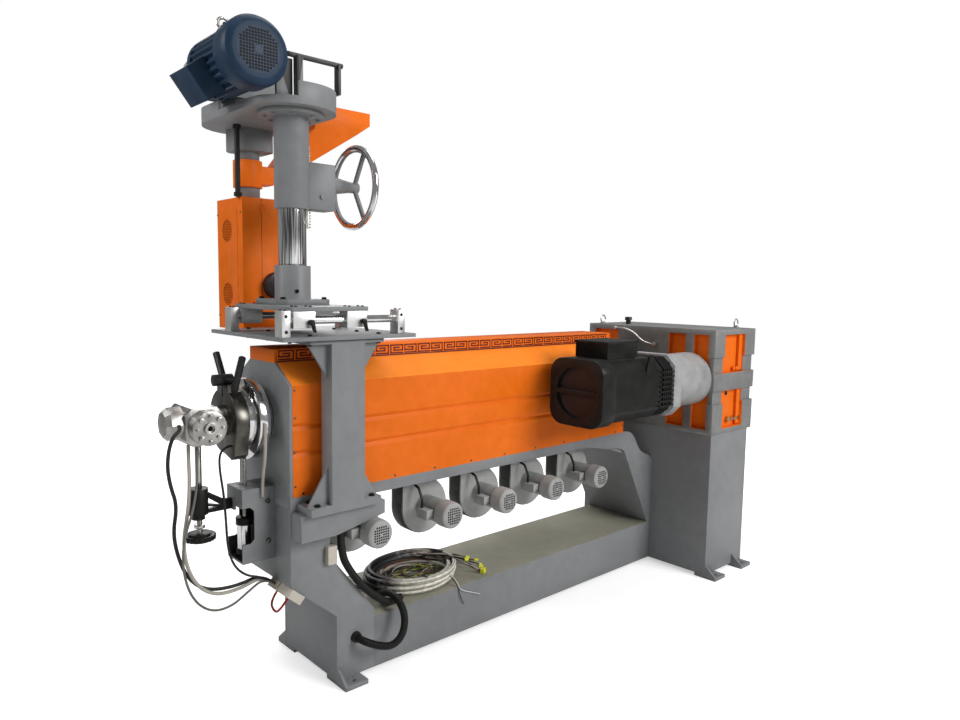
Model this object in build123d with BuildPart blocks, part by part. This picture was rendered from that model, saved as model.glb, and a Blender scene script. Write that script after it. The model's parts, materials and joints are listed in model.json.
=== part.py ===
from build123d import *
from math import acos, cos, pi, radians, sin, tan
import os

# Cable extruder: a single screw extruder on a welded frame, with a small
# vertical extruder that slides and lifts on a column above its head.
# Sizes are in millimetres, +Z is up. The layout is measured from the front
# end plate (x = 0), the front side plate (y = 0) and the floor (z = 0), with
# the wire line along Y. The part's origin is on the floor at its centre.

# Frame
frame_width = 400.0
plate = 12.0
foot_height = 17.0
foot_reach = 60.0
foot_length = 98.0
foot_root = 75.0
anchor_radius = 9.0
front_anchor_x = 52.0
gusset_height = 50.0
knee_z = 423.0
toe_x = 182.0
toe_z = 267.0
leg_right_x = 345.0
leg_right_z = 252.0
leg_inner_x = 156.0
leg_inner_z = 500.0
beam_top_z = 219.0
side_bottom_z = 700.0
cover_bottom_z = 742.0
frame_end_x = 2142.0
arch_start_x = 1560.0
arch_mid = (1755.0, 672.0)
arch_low = (1902.0, 624.0)
arch_foot_x = 2118.0
hip_top_x = 1897.0
hip_curve = ((1982.0, 694.0), (2040.0, 620.0))
hip_side_z = 552.0
rear_leg_top_z = 724.0

# Connector blocks under the slanted plate of the leg, and one by the shelf
connector_start = 2.0
connector_length = 62.0
connector_height = 32.0
connector_ys = ((-10.0, 72.0), (82.0, 142.0))
small_connector = ((134.0, 170.0), (-24.0, 0.0), (478.0, 545.0))

# Barrel and its cover
barrel_y = frame_width / 2
barrel_z = 1000.0
cover_end_x = 1877.0
cover_shoulder_z = 1131.0
cover_slope_z = 1202.0
cover_cap_y = 106.0
cover_cap_z = 1248.0
groove_zs = (988.0, 895.0)
groove_depth = 9.0
groove_height = 26.0
barrel_radius = 88.0
cover_clearance = 14.0
nose_radius = 105.0
ring_radius = 143.0
ring_back_x = -38.0
ring_front_x = -76.0

# Head and its clamp
clamp_radius = 112.0
clamp_back_x = -98.0
clamp_front_x = -146.0
point_turn = -34.0
point_reach = 142.0
point_half = 16.0
point_root = (80.0, 70.0)
ear_half = 44.0
ear_top_z = 1128.0
ear_gap = 8.0
handle_radius = 12.0
handle_x = -122.0
handles = (((17.0, 97.0), (104.0, 227.0)), ((-40.0, 104.0), (-111.0, 227.0)))
knob_x = (-178.0, -111.0)
knob_radius = 20.0
knob_rise = 15.0
head_x = -235.0
head_radius = 57.0
head_front_y = 90.0
head_back_y = 312.0
head_block = 126.0
head_block_y = (136.0, 292.0)
head_corner = 22.0
head_bore_radius = 9.0
die_mouth = 3.0
head_neck_radius = 55.0
die_radius = 21.0
die_length = 10.0
bolt_circle = 42.0
bolt_radius = 9.0
bolt_height = 8.0
small_bolt_radius = 5.0
plug_end_x = -350.0
plug_taper_x = -336.0
plug_root_x = -292.0
plug_radius = 56.0
plug_z = 1010.0
plug_neck_radius = 44.0

# Jack under the head
arm_y = (190.0, 210.0)
arm_boss_x = -238.0
arm_boss_radius = 33.0
arm_boss_z = (689.0, 778.0)
arm_tip_radius = 22.0
arm_tip_z = 671.0
arm_bottom_z = 688.0
arm_top_z = 768.0
arm_end_z = 724.0
arm_bend_x = -146.0
arm_window_x = (-218.0, -160.0)
arm_windows = ((748.0, 722.0, 706.0), (713.0, 700.0, 702.0))
rod_radius = 11.0
screw_radius = 9.0
screw_depth = 46.0
screw_collar_z = (640.0, 652.0)
jack_wheel_radius = 53.0
jack_wheel_z = 594.0
jack_wheel_thick = 28.0
jack_lip = 5.0
jack_band = 17.0
jack_ribs = 20
jack_rib_depth = 4.0
jack_crown = 38.0

# Mount box on the end plate, with the air cylinder in it
mount_x = -122.0
mount_y = (111.0, 235.0)
mount_z = (504.0, 767.0)
mount_sheet = 8.0
mount_arch_x = -79.0
mount_arch_z = (574.0, 702.0)
mount_chamfer = 14.0
mount_bolts = ((-29.0, 716.0), (-28.0, 572.0))
arm_seat_z = 684.0
cylinder_x = -76.0
cylinder_y = 191.0
cylinder_radius = 32.0
cylinder_cap = 26.0
cylinder_tube_radius = 29.0
cylinder_top_z = 650.0
piston_radius = 7.0

# Pedestal, gearbox and drive
pedestal_end_x = 2505.0
pedestal_front_y = -346.0
pedestal_back_y = 455.0
pedestal_top_z = 743.0
gearbox_end_x = 2545.0
gearbox_bands = ((743.0, 899.0), (965.0, 1055.0), (1137.0, 1277.0))
gearbox_neck = 10.0
recess_depth = 30.0
recess_margin = 26.0
front_recess_x = (2240.0, 2440.0)
side_recess_ys = ((-309.0, -225.0), (-177.0, -77.0), (250.0, 410.0))
motor_y = -200.0
motor_z = 1024.0
motor_half = 148.0
motor_corner = 70.0
motor_rear_x = 1253.0
motor_cowl_x = 1345.0
motor_body_half = 138.0
motor_body_chamfer = 52.0
motor_fin_x = 1700.0
motor_fins = 5
motor_fin_thick = 8.0
motor_core_radius = 118.0
motor_mouth_radius = 112.0
motor_mouth_depth = 24.0
motor_bar_half = 9.0
motor_flange_x = 1790.0
motor_flange_half = 145.0
motor_flange_chamfer = 46.0
flange_thick = 62.0
bell_start_radius = 108.0
bell_radius = 134.0
bell_shoulder_x = 1925.0
terminal_box_x = (1340.0, 1566.0)
terminal_box_y = (-300.0, -110.0)
terminal_box_top = 1246.0
terminal_lid = 10.0
feed_half = 92.0
feed_neck_x = (1920.0, 2090.0)
feed_neck_half = 80.0
feed_mouth_x = (1955.0, 2055.0)
feed_mouth_half = 45.0
feed_depth = 120.0
feed_top_z = 1176.0

# Fans under the barrel
fan_xs = (300.0, 643.0, 948.0, 1250.0, 1568.0)
fan_z = 578.0
fan_radius = 112.0
fan_y = (72.0, 150.0)
fan_band = 8.0
fan_band_rise = 3.0
fan_motor_radius = 47.0
fan_motor_y = -50.0
fan_cowl_radius = 52.0
fan_cowl_y = -104.0
fan_sides = 36
fan_motor_sides = 24
lead_size = 8.0
lead_bend = 14.0
lead_points = ((-62.0, 10.0, 0.0), (-65.0, 8.0, 52.0), (-62.0, 34.0, 92.0), (-60.0, 76.0, 103.0))
fan_box_x = (-80.0, -38.0)
fan_box_y = (-42.0, 22.0)
fan_box_z = (-20.0, 16.0)

# Bracket and platform over the head
shelf_x = 4.0
shelf_y = -70.0
shelf_z = (600.0, 692.0)
shelf_taper_z = 642.0
shelf_taper_x = 140.0
gland_z = 588.0
gland_radius = 20.0
foot_plate_x = (25.0, 308.0)
foot_plate_y = (-100.0, -1.0)
foot_plate_top = 721.0
post_x = (106.0, 238.0)
post_y = (-100.0, -30.0)
gusset_y = -74.0
gusset_thick = 10.0
foot_gussets = ((79.0, 130.0), (68.0, 110.0))
top_gusset = (76.0, 120.0)
bracket_top_z = 1276.0
bracket_reach = 80.0
bracket_back_y = 410.0
platform_z = (1290.0, 1304.0)
platform_x = (-82.0, 446.0)
platform_y = (-118.0, 440.0)

# Slide
rail_ys = (-90.0, 290.0)
rail_z = 1358.0
rail_radius = 13.0
rail_block_x = ((-82.0, -52.0), (368.0, 398.0))
rail_block_half_y = 24.0
rail_block_top = 1390.0
fit_gap = 0.3
carriage_x = (-44.0, 242.0)
carriage_y = (-114.0, 314.0)
carriage_z = (1387.0, 1402.0)
bearing_x = ((-42.0, 38.0), (158.0, 238.0))
bearing_bottom_z = 1332.0
lever_pivot = (60.0, 1352.0)
lever_hub_radius = 9.0
lever_hub_length = 16.0
lever_plate = (10.0, 8.0)
lever_drop = 34.0
column_x = 105.0
column_y = 163.0
column_radius = 49.0
base_half = 105.0
base_chamfer = 30.0
base_top_z = 1422.0
collar_radius = 63.0
collar_top_z = 1540.0
column_top_z = 1975.0

# Lifting unit
sleeve_radius = 61.0
sleeve_bottom_z = 1739.0
bed_z = 2071.0
bed_floor = 12.0
bed_rim = 26.0
bed_wall_top = 2146.0
bed_left_wall_top = 2131.0
bed_low_corner = (55.0, 414.0)
bed_centre_x = 105.0
bed_half_x = 155.0
bed_corner = 150.0
bed_front_y = 10.0
bed_back_y = 690.0
bed_wall_thick = 10.0
flange_radius = 114.0
flange_height = 16.0
bar_y = 100.0
bar_z = 2250.0
bar_x = (61.0, 273.0)
bar_radius = 9.0
bar_post_x = (88.0, 112.0)
bar_leg_x = (250.0, 260.0)
bar_leg_half = 15.0
motor_plate_x = (26.0, 86.0)
motor_plate_y = (114.0, 126.0)
motor_plate_top_z = 2240.0
screw_x = 133.0
screw_y = 575.0
rack_z = (1675.0, 1965.0)
rack_x = (145.0, 172.0)
rack_half_y = 14.0
tooth_pitch = 10.0
tooth_depth = 6.0
tooth_root = 4.0
tooth_tip = 1.6
rack_gap = 1.0
rack_box_x = (145.0, 258.0)
rack_box_half_y = 41.0
rack_box_z = (1741.0, 1905.0)
wheel_x = 362.0
wheel_z = 1838.0
wheel_radius = 157.0
rim_width = 22.0
rim_depth = 26.0
rim_chamfer = 8.0
hub_radius = (34.0, 20.0)
hub_nose = 14.0
spokes = 3
spoke_radius = 9.0
cover_x = (55.0, 211.0)
cover_y = (460.0, 690.0)
cover_z = (1294.0, 1803.0)
vent_y = 600.0
vent_zs = (1680.0, 1432.0)
vent_radius = 44.0
vent_depth = 6.0
door_y = (505.0, 672.0)
door_z = (1330.0, 1760.0)
door_depth = 3.0
blower_at = (187.0, 1468.0)
blower_radius = 52.0
blower_depth = 44.0
throat_z = (1851.0, 1955.0)
throat_radius = 56.0
neck_radius = 46.0
housing_x = (66.0, 215.0)
housing_y = (500.0, 640.0)
housing_z = (1988.0, 2071.0)
housing_chamfer = 20.0
reducer_x = (20.0, 220.0)
reducer_y = (408.0, 655.0)
reducer_chamfer = 24.0
reducer_lid = 8.0
reducer_step = 4.0
reducer_top_z = 2330.0
reducer_nose_radius = 70.0
reducer_nose_y = 480.0
reducer_arm = (60.0, 140.0)
hopper_top = (375.0, 640.0)
hopper_y = (470.0, 686.0)
hopper_top_z = 2204.0
hopper_right_z = 2152.0
hopper_left_z = 2104.0
chute_end_x = 227.0
chute_z = 1902.0
chute_width = 76.0
chute_height = 70.0
sheet = 4.0
lift_motor_x = -82.0
lift_motor_z = 2214.0
lift_motor_y = (18.0, 350.0)
lift_motor_radius = 102.0
lift_fins = 26
lift_fin_depth = 9.0
lift_cover_y = 112.0
lift_cover_radius = 112.0
lift_dome = ((30.0, 106.0), (21.0, 92.0))
lift_dome_root = 44.0
lift_grille_radius = 68.0
lift_flange_y = 326.0
lift_box_turn = 217.0
lift_box_reach = (84.0, 158.0)
lift_box_width = 118.0
lift_box_y = (200.0, 350.0)

# Cords: section across and the points of each one's centre line
hose_width = 28.0
cable_width = 12.0
thin_width = 8.0
cord_sides = 6
leg_hose_points = (
    (190, -15, 588), (190, -15, 505), (236, -15, 420), (300, -15, 340), (362, -10, 288), (415, 14, 250),
    (462, 34, 235), (508, 53, 233),
)
return_hose_points = (
    (447, 114, 236), (441, 74, 262), (436, 24, 280), (436, -30, 270), (438, -64, 235), (432, -80, 188),
    (404, -93, 150), (360, -98, 134), (317, -93, 144), (282, -73, 158), (262, -40, 165), (262, 0, 165),
)
head_cable_points = (
    (-316, 144, 1010), (-318, 122, 1002), (-346, 114, 985), (-360, 118, 940), (-362, 128, 880),
    (-352, 134, 820), (-332, 134, 750), (-348, 134, 660), (-332, 134, 570), (-300, 134, 490), (-240, 134, 438),
    (-140, 134, 426), (-50, 134, 444), (-9, 134, 410),
)
heater_cable_points = (
    (-276, 176, 937), (-276, 176, 885), (-284, 150, 820), (-300, 121, 740), (-324, 121, 610), (-296, 121, 490),
    (-226, 121, 420), (-130, 121, 418), (-50, 121, 444), (-9, 121, 410),
)
sensor_cable_points = (
    (-258, 150, 937), (-258, 150, 890), (-268, 124, 820), (-292, 104, 730), (-326, 104, 640), (-330, 104, 530),
    (-300, 102, 430), (-240, 100, 374), (-170, 100, 374), (-110, 100, 410), (-50, 100, 444), (-9, 100, 410),
)
ring_hose_points = ((-62, 51.4, 1005), (-60, 54, 900), (-50, 105, 800), (-50, 105, 735))
clamp_cable_points = (
    (-146, 150, 920), (-170, 150, 914), (-184, 147, 888), (-186, 138, 840), (-182, 118, 760), (-180, 110, 670),
    (-176, 110, 580), (-156, 110, 510), (-112, 110, 464), (-50, 110, 444), (-9, 110, 410),
)
red_cable_points = ((4.2, 112, 377.2), (-25, 112, 343), (-25, 72, 318), (-25, 32, 343), (4.2, 32, 377.2))

# Cable coil on the lower beam
coil_centre = (670.0, 200.0)
coil_radii = (228.0, 194.0)
coil_ring = 62.0
coil_turns = 3
coil_turn_height = 22.0
coil_turn_inset = 7.0

# The part's origin is midway along, midway across and on the floor
centre_x = (plug_end_x + gearbox_end_x) / 2
centre_y = (pedestal_front_y - foot_reach + bed_back_y) / 2


def at(x, y, z):
    """Turn a layout position into the part's own frame."""
    return Vector(x - centre_x, y - centre_y, z)


def front_plane(y):
    """A plane whose sketch runs along X and Z; it extrudes to the front."""
    return Plane(origin=at(0, y, 0), x_dir=(1, 0, 0), z_dir=(0, -1, 0))


def end_plane(x):
    """A plane whose sketch runs along Y and Z; it extrudes along +X."""
    return Plane(origin=at(x, 0, 0), x_dir=(0, 1, 0), z_dir=(1, 0, 0))


def level_plane(z):
    """A plane whose sketch runs along X and Y; it extrudes upward."""
    return Plane(origin=at(0, 0, z))


def rectangle(low, high, mode=Mode.ADD):
    """A rectangle between two corners, added to the sketch in hand."""
    with Locations(((low[0] + high[0]) / 2, (low[1] + high[1]) / 2)):
        Rectangle(high[0] - low[0], high[1] - low[1], mode=mode)


def block(x, y, z, mode=Mode.ADD):
    """A box between two values along each axis, for the part in hand."""
    with BuildSketch(level_plane(z[0])) as face:
        rectangle((x[0], y[0]), (x[1], y[1]))
    extrude(face.sketch, amount=z[1] - z[0], mode=mode)


def rod(start, end, radius, sides=12):
    """A straight bar with flat sides between two points."""
    low, high = at(*start), at(*end)
    with BuildSketch(Plane(origin=low, z_dir=high - low)) as face:
        RegularPolygon(radius, sides)
    extrude(face.sketch, amount=(high - low).length)


def drum(plane, centre, radius, length, sides):
    """A short round form with flat sides on a plane."""
    with BuildSketch(plane) as face:
        with Locations(centre):
            RegularPolygon(radius, sides)
    extrude(face.sketch, amount=length)


def finish(piece, name):
    """Label one sub-part and write it."""
    piece.part.label = name
    export_step(piece.part, f"parts/{name}.step")


def cord_path(name, width, points):
    """A cord's centre line: straight runs joined by tangent arcs."""
    spots = [at(*point) for point in points]
    runs = [b - a for a, b in zip(spots, spots[1:])]
    bends = []
    for before, after in zip(runs, runs[1:]):
        half_turn = acos(before.normalized().dot(after.normalized())) / 2
        bends.append(0.45 * min(before.length, after.length) / tan(half_turn))
    print(name, "radii", [round(bend) for bend in bends], "width", width)
    with BuildLine():
        route = FilletPolyline(*spots, radius=bends)
    return route


def cord(name, width, points):
    """A loose cord as one solid."""
    with BuildPart() as piece:
        path = cord_path(name, width, points)
        with BuildSketch(Plane(origin=path @ 0, z_dir=path % 0)) as section:
            RegularPolygon(width / 2, cord_sides)
        sweep(section.sketch, path=path)
    ratio = piece.part.volume / (section.sketch.area * path.length)
    print(name, "length", round(path.length), "volume ratio", round(ratio, 3))
    if abs(ratio - 1) > 0.02:
        print("PROBLEM", name, "volume ratio", round(ratio, 3))
    finish(piece, name)


os.makedirs("parts", exist_ok=True)


# Side plates: dog leg at the head end, arch at the drive end
def side_plate(name, y):
    with BuildPart() as side:
        with BuildSketch(front_plane(y)):
            with BuildLine():
                Polyline(
                    (arch_start_x, side_bottom_z),
                    (leg_inner_x, side_bottom_z),
                    (leg_inner_x, leg_inner_z),
                    (leg_right_x, leg_right_z),
                    (leg_right_x, foot_height),
                    (toe_x, foot_height),
                    (toe_x, toe_z),
                    (0, knee_z),
                    (0, cover_bottom_z),
                    (hip_top_x, cover_bottom_z),
                )
                Spline(
                    (hip_top_x, cover_bottom_z),
                    *hip_curve,
                    (frame_end_x, hip_side_z),
                    tangents=((1, 0), (0.35, -1)),
                )
                Polyline(
                    (frame_end_x, hip_side_z),
                    (frame_end_x, beam_top_z),
                    (arch_foot_x, beam_top_z),
                    arch_low,
                )
                Spline(
                    arch_low,
                    arch_mid,
                    (arch_start_x, side_bottom_z),
                    tangents=((-0.5, 0.9), (-1, 0)),
                )
            make_face()
        extrude(amount=-plate)
    finish(side, name)


side_plate("front_side_plate", 0)
side_plate("back_side_plate", frame_width - plate)

# Front leg between the side plates, with the connector blocks under its slant
slant = Vector(toe_x, 0, toe_z - knee_z).normalized()
slant_plane = Plane(origin=at(0, 0, knee_z), x_dir=slant, z_dir=Vector(slant.Z, 0, -slant.X))
with BuildPart() as front_leg:
    with BuildSketch(front_plane(plate)):
        Polygon(
            (0, knee_z), (0, side_bottom_z), (leg_inner_x, side_bottom_z), (leg_inner_x, leg_inner_z),
            (leg_right_x, leg_right_z), (leg_right_x, foot_height), (toe_x, foot_height), (toe_x, toe_z),
            align=None,
        )
    extrude(amount=-(frame_width - 2 * plate))
    for low_y, high_y in connector_ys:
        with BuildSketch(slant_plane):
            rectangle((connector_start, -high_y), (connector_start + connector_length, -low_y))
        extrude(amount=connector_height)
finish(front_leg, "front_leg")


# Feet: floor plates with bolt holes, and upright gussets
def foot(edge, out, left, anchor_x, root):
    """One floor plate beyond a frame's edge, for the part in hand."""
    tip = edge + out * foot_reach
    inner = edge - out * root
    with BuildSketch(level_plane(0)) as sole:
        rectangle((left, min(tip, inner)), (left + foot_length, max(tip, inner)))
        with Locations((left + anchor_x, edge + out * foot_reach / 2)):
            Circle(anchor_radius, mode=Mode.SUBTRACT)
    extrude(sole.sketch, amount=foot_height)
    with BuildSketch(end_plane(left)) as gusset:
        Polygon(
            (tip, foot_height), (edge, foot_height), (edge, foot_height + gusset_height),
            align=None,
        )
    extrude(gusset.sketch, amount=plate)


with BuildPart() as front_feet:
    foot(0, -1, toe_x, front_anchor_x, foot_root)
    foot(frame_width, 1, toe_x, front_anchor_x, foot_root)
finish(front_feet, "front_feet")

# Lower beam
with BuildPart() as lower_beam:
    block((leg_right_x, frame_end_x), (0, frame_width), (foot_height, beam_top_z))
finish(lower_beam, "lower_beam")

# Rear leg: the closed box between the side plates behind the arch
with BuildPart() as rear_leg:
    with BuildSketch(front_plane(plate)):
        Polygon(
            arch_mid, arch_low, (arch_foot_x, beam_top_z), (frame_end_x, beam_top_z),
            (frame_end_x, hip_side_z), (hip_curve[1][0], hip_curve[1][1] - 4),
            (hip_curve[0][0], hip_curve[0][1] - plate), (hip_top_x - 40, rear_leg_top_z),
            (arch_mid[0], rear_leg_top_z),
            align=None,
        )
    extrude(amount=-(frame_width - 2 * plate))
finish(rear_leg, "rear_leg")

# Deck under the barrel cover that carries the fans
with BuildPart() as beam_deck:
    block((leg_inner_x, arch_mid[0]), (plate, frame_width - plate), (side_bottom_z, side_bottom_z + plate))
finish(beam_deck, "beam_deck")

# Front end plate: the cover's outline with the barrel hole
cover_outline = (
    (0, cover_bottom_z), (0, cover_shoulder_z), (cover_cap_y, cover_slope_z), (cover_cap_y, cover_cap_z),
    (frame_width - cover_cap_y, cover_cap_z), (frame_width - cover_cap_y, cover_slope_z),
    (frame_width, cover_shoulder_z), (frame_width, cover_bottom_z),
)
with BuildPart() as end_plate:
    with BuildSketch(end_plane(0)):
        Polygon(*cover_outline, align=None)
        rectangle((plate, side_bottom_z), (frame_width - plate, cover_bottom_z))
        with Locations((barrel_y, barrel_z)):
            Circle(barrel_radius, mode=Mode.SUBTRACT)
    extrude(amount=plate)
finish(end_plate, "front_end_plate")

# Barrel cover with a pressed band along both long sides
with BuildPart() as barrel_cover:
    with BuildSketch(end_plane(plate)):
        Polygon(*cover_outline, align=None)
        with Locations((barrel_y, barrel_z)):
            Circle(barrel_radius + cover_clearance, mode=Mode.SUBTRACT)
    extrude(amount=cover_end_x - plate)
    for groove_z in groove_zs:
        with BuildSketch(end_plane(plate)):
            for edge, inward in ((0, 1), (frame_width, -1)):
                Polygon(
                    (edge, groove_z + groove_height / 2), (edge + inward * groove_depth, groove_z),
                    (edge, groove_z - groove_height / 2),
                    align=None,
                )
        extrude(amount=cover_end_x - plate, mode=Mode.SUBTRACT)
finish(barrel_cover, "barrel_cover")

# Barrel with the chromed ring at its mouth and the nose before it
with BuildPart() as barrel:
    for start_x, end_x, radius in (
        (ring_back_x, cover_end_x, barrel_radius - fit_gap),
        (ring_front_x, ring_back_x, ring_radius),
        (clamp_back_x, ring_front_x, nose_radius),
    ):
        with BuildSketch(end_plane(start_x)):
            with Locations((barrel_y, barrel_z)):
                Circle(radius)
        extrude(amount=end_x - start_x)
finish(barrel, "barrel")

# Head clamp: a hinged ring with two ears, a pointed lug, a knob and handles
with BuildPart() as head_clamp:
    with BuildSketch(end_plane(clamp_front_x)):
        with Locations((barrel_y, barrel_z)):
            Circle(clamp_radius)
            Polygon(
                (-point_root[0], -point_root[1]), (-point_half, -point_reach),
                (point_half, -point_reach), (point_root[0], -point_root[1]),
                rotation=point_turn, align=None,
            )
        rectangle((barrel_y - ear_half, barrel_z), (barrel_y + ear_half, ear_top_z))
        rectangle(
            (barrel_y - ear_gap / 2, ear_top_z - ear_half), (barrel_y + ear_gap / 2, ear_top_z),
            mode=Mode.SUBTRACT,
        )
    extrude(amount=clamp_back_x - clamp_front_x)
    for (low_y, low_z), (high_y, high_z) in handles:
        rod(
            (handle_x, barrel_y + low_y, barrel_z + low_z), (handle_x, barrel_y + high_y, barrel_z + high_z),
            handle_radius,
        )
    knob_z = ear_top_z + knob_rise
    rod((knob_x[0], barrel_y, knob_z), (knob_x[1], barrel_y, knob_z), knob_radius, 16)
finish(head_clamp, "head_clamp")

# Crosshead: body along Y, neck to the clamp, closing plug and die face
with BuildPart() as crosshead:
    with BuildSketch(front_plane(head_back_y)):
        with Locations((head_x, barrel_z)):
            Circle(head_radius)
    extrude(amount=head_back_y - head_front_y)
    with BuildSketch(front_plane(head_block_y[1])):
        with Locations((head_x, barrel_z)):
            Rectangle(head_block, head_block)
        chamfer(vertices(), head_corner)
    extrude(amount=head_block_y[1] - head_block_y[0])
    with BuildSketch(end_plane(head_x)):
        with Locations((barrel_y, barrel_z)):
            Circle(head_neck_radius)
    extrude(amount=clamp_front_x - head_x)
    drum(end_plane(plug_root_x), (barrel_y, barrel_z), plug_neck_radius, head_x - plug_root_x, 8)
    drum(end_plane(plug_taper_x), (barrel_y, plug_z), plug_radius, plug_root_x - plug_taper_x, 8)
    with BuildSketch(end_plane(plug_taper_x)):
        with Locations((barrel_y, plug_z)):
            RegularPolygon(plug_radius, 8)
    extrude(amount=plug_end_x - plug_taper_x, taper=40)
    drum(front_plane(head_front_y), (head_x, barrel_z), die_radius, die_length, 16)
    with BuildSketch(front_plane(head_front_y)):
        with Locations((head_x, barrel_z)):
            with PolarLocations(bolt_circle, 4, start_angle=45):
                RegularPolygon(bolt_radius, 6)
            with PolarLocations(bolt_circle, 4):
                RegularPolygon(small_bolt_radius, 6)
    extrude(amount=bolt_height)
    with BuildSketch(front_plane(head_back_y)):
        with Locations((head_x, barrel_z)):
            Circle(head_bore_radius)
    extrude(amount=head_back_y - head_front_y, mode=Mode.SUBTRACT)
    with BuildSketch(front_plane(head_front_y)):
        with Locations((head_x, barrel_z)):
            RegularPolygon(head_bore_radius + die_mouth, 12)
    extrude(amount=die_length, mode=Mode.SUBTRACT)
finish(crosshead, "crosshead")

# Rod under the head, seated on the jack arm's boss
with BuildPart() as support_rod:
    rod((head_x, barrel_y, arm_boss_z[1]), (head_x, barrel_y, barrel_z - head_block / 2), rod_radius)
finish(support_rod, "support_rod")

# Jack arm: a web with two windows between its chords and a boss at its end
with BuildPart() as jack_arm:
    with BuildSketch(front_plane(arm_y[1])):
        Polygon(
            (arm_boss_x, arm_bottom_z), (arm_boss_x, arm_top_z), (arm_window_x[0], arm_top_z),
            (arm_bend_x, arm_end_z), (mount_x, arm_end_z), (mount_x, arm_bottom_z),
            align=None,
        )
        for high_z, middle_z, low_z in arm_windows:
            Polygon(
                (arm_window_x[0], high_z), (arm_window_x[1], low_z), (arm_window_x[0], middle_z),
                align=None, mode=Mode.SUBTRACT,
            )
    extrude(amount=arm_y[1] - arm_y[0])
    boss_at = (arm_boss_x, barrel_y)
    drum(level_plane(arm_boss_z[0]), boss_at, arm_boss_radius, arm_boss_z[1] - arm_boss_z[0], 24)
    drum(level_plane(arm_tip_z), boss_at, arm_tip_radius, arm_boss_z[0] - arm_tip_z, 24)
    with BuildSketch(level_plane(arm_tip_z)):
        with Locations((head_x, barrel_y)):
            Circle(screw_radius + fit_gap)
    extrude(amount=screw_depth + fit_gap, mode=Mode.SUBTRACT)
finish(jack_arm, "jack_arm")

# Jack screw with its ribbed handwheel
with BuildPart() as jack_wheel:
    rim_points = []
    for step in range(2 * jack_ribs):
        reach = jack_wheel_radius - jack_rib_depth * (step % 2)
        turn = pi * step / jack_ribs
        rim_points.append((head_x + reach * cos(turn), barrel_y + reach * sin(turn)))
    crown = (head_x, barrel_y)
    with BuildSketch(level_plane(jack_wheel_z + jack_lip)):
        Polygon(*rim_points, align=None)
    extrude(amount=jack_band)
    drum(level_plane(jack_wheel_z), crown, jack_crown, jack_wheel_thick, 20)
    drum(level_plane(screw_collar_z[0]), crown, 2 * screw_radius, screw_collar_z[1] - screw_collar_z[0], 16)
    with BuildSketch(level_plane(jack_wheel_z + jack_wheel_thick)):
        with Locations(crown):
            Circle(screw_radius)
    extrude(amount=arm_tip_z + screw_depth - jack_wheel_z - jack_wheel_thick)
finish(jack_wheel, "jack_handwheel")

# Mount box: a sheet housing open to the head, with its seat for the jack arm
with BuildPart() as mount_box:
    for face_y in (mount_y[0] + mount_sheet, mount_y[1]):
        with BuildSketch(front_plane(face_y)):
            rectangle((mount_x, mount_z[0]), (0, mount_z[1] - mount_sheet))
            Polygon(
                (mount_x, mount_arch_z[0]), (mount_arch_x - mount_chamfer, mount_arch_z[0]),
                (mount_arch_x, mount_arch_z[0] + mount_chamfer), (mount_arch_x, mount_arch_z[1] - mount_chamfer),
                (mount_arch_x - mount_chamfer, mount_arch_z[1]), (mount_x, mount_arch_z[1]),
                align=None, mode=Mode.SUBTRACT,
            )
        extrude(amount=mount_sheet)
    block((mount_x, 0), mount_y, (mount_z[1] - mount_sheet, mount_z[1]))
    block((mount_x, 0), mount_y, (mount_z[0], mount_z[0] + mount_sheet))
    block((-mount_sheet, 0), mount_y, mount_z)
    block((mount_x, mount_x + mount_sheet), mount_y, (mount_arch_z[1], mount_z[1]))
    block((mount_x, mount_x + mount_sheet), (arm_y[0] - plate, arm_y[1] + plate), (arm_seat_z, mount_z[1]))
    for bolt_x, bolt_z in mount_bolts:
        drum(front_plane(mount_y[0]), (bolt_x, bolt_z), bolt_radius, bolt_height, 6)
    with BuildSketch(level_plane(mount_z[1] - mount_sheet)):
        with Locations((cylinder_x, cylinder_y)):
            RegularPolygon(piston_radius + 2, 12)
    extrude(amount=mount_sheet, mode=Mode.SUBTRACT)
finish(mount_box, "mount_box")

# Air cylinder that steadies the head, standing in the mount box
with BuildPart() as air_cylinder:
    seat_z = mount_z[0] + mount_sheet
    for low, high, radius in (
        (seat_z, seat_z + cylinder_cap, cylinder_radius),
        (seat_z + cylinder_cap, cylinder_top_z - cylinder_cap, cylinder_tube_radius),
        (cylinder_top_z - cylinder_cap, cylinder_top_z, cylinder_radius),
        (cylinder_top_z, barrel_z - ring_radius, piston_radius),
    ):
        drum(level_plane(low), (cylinder_x - fit_gap, cylinder_y), radius, high - low, 20)
finish(air_cylinder, "air_cylinder")

# Pedestal with its four feet
with BuildPart() as pedestal:
    block(
        (frame_end_x, pedestal_end_x), (pedestal_front_y, pedestal_back_y), (foot_height, pedestal_top_z)
    )
finish(pedestal, "pedestal")

with BuildPart() as pedestal_feet:
    for left in (frame_end_x, pedestal_end_x - foot_length):
        foot(pedestal_front_y, -1, left, foot_length / 2, foot_reach)
        foot(pedestal_back_y, 1, left, foot_length / 2, foot_reach)
finish(pedestal_feet, "pedestal_feet")

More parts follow.
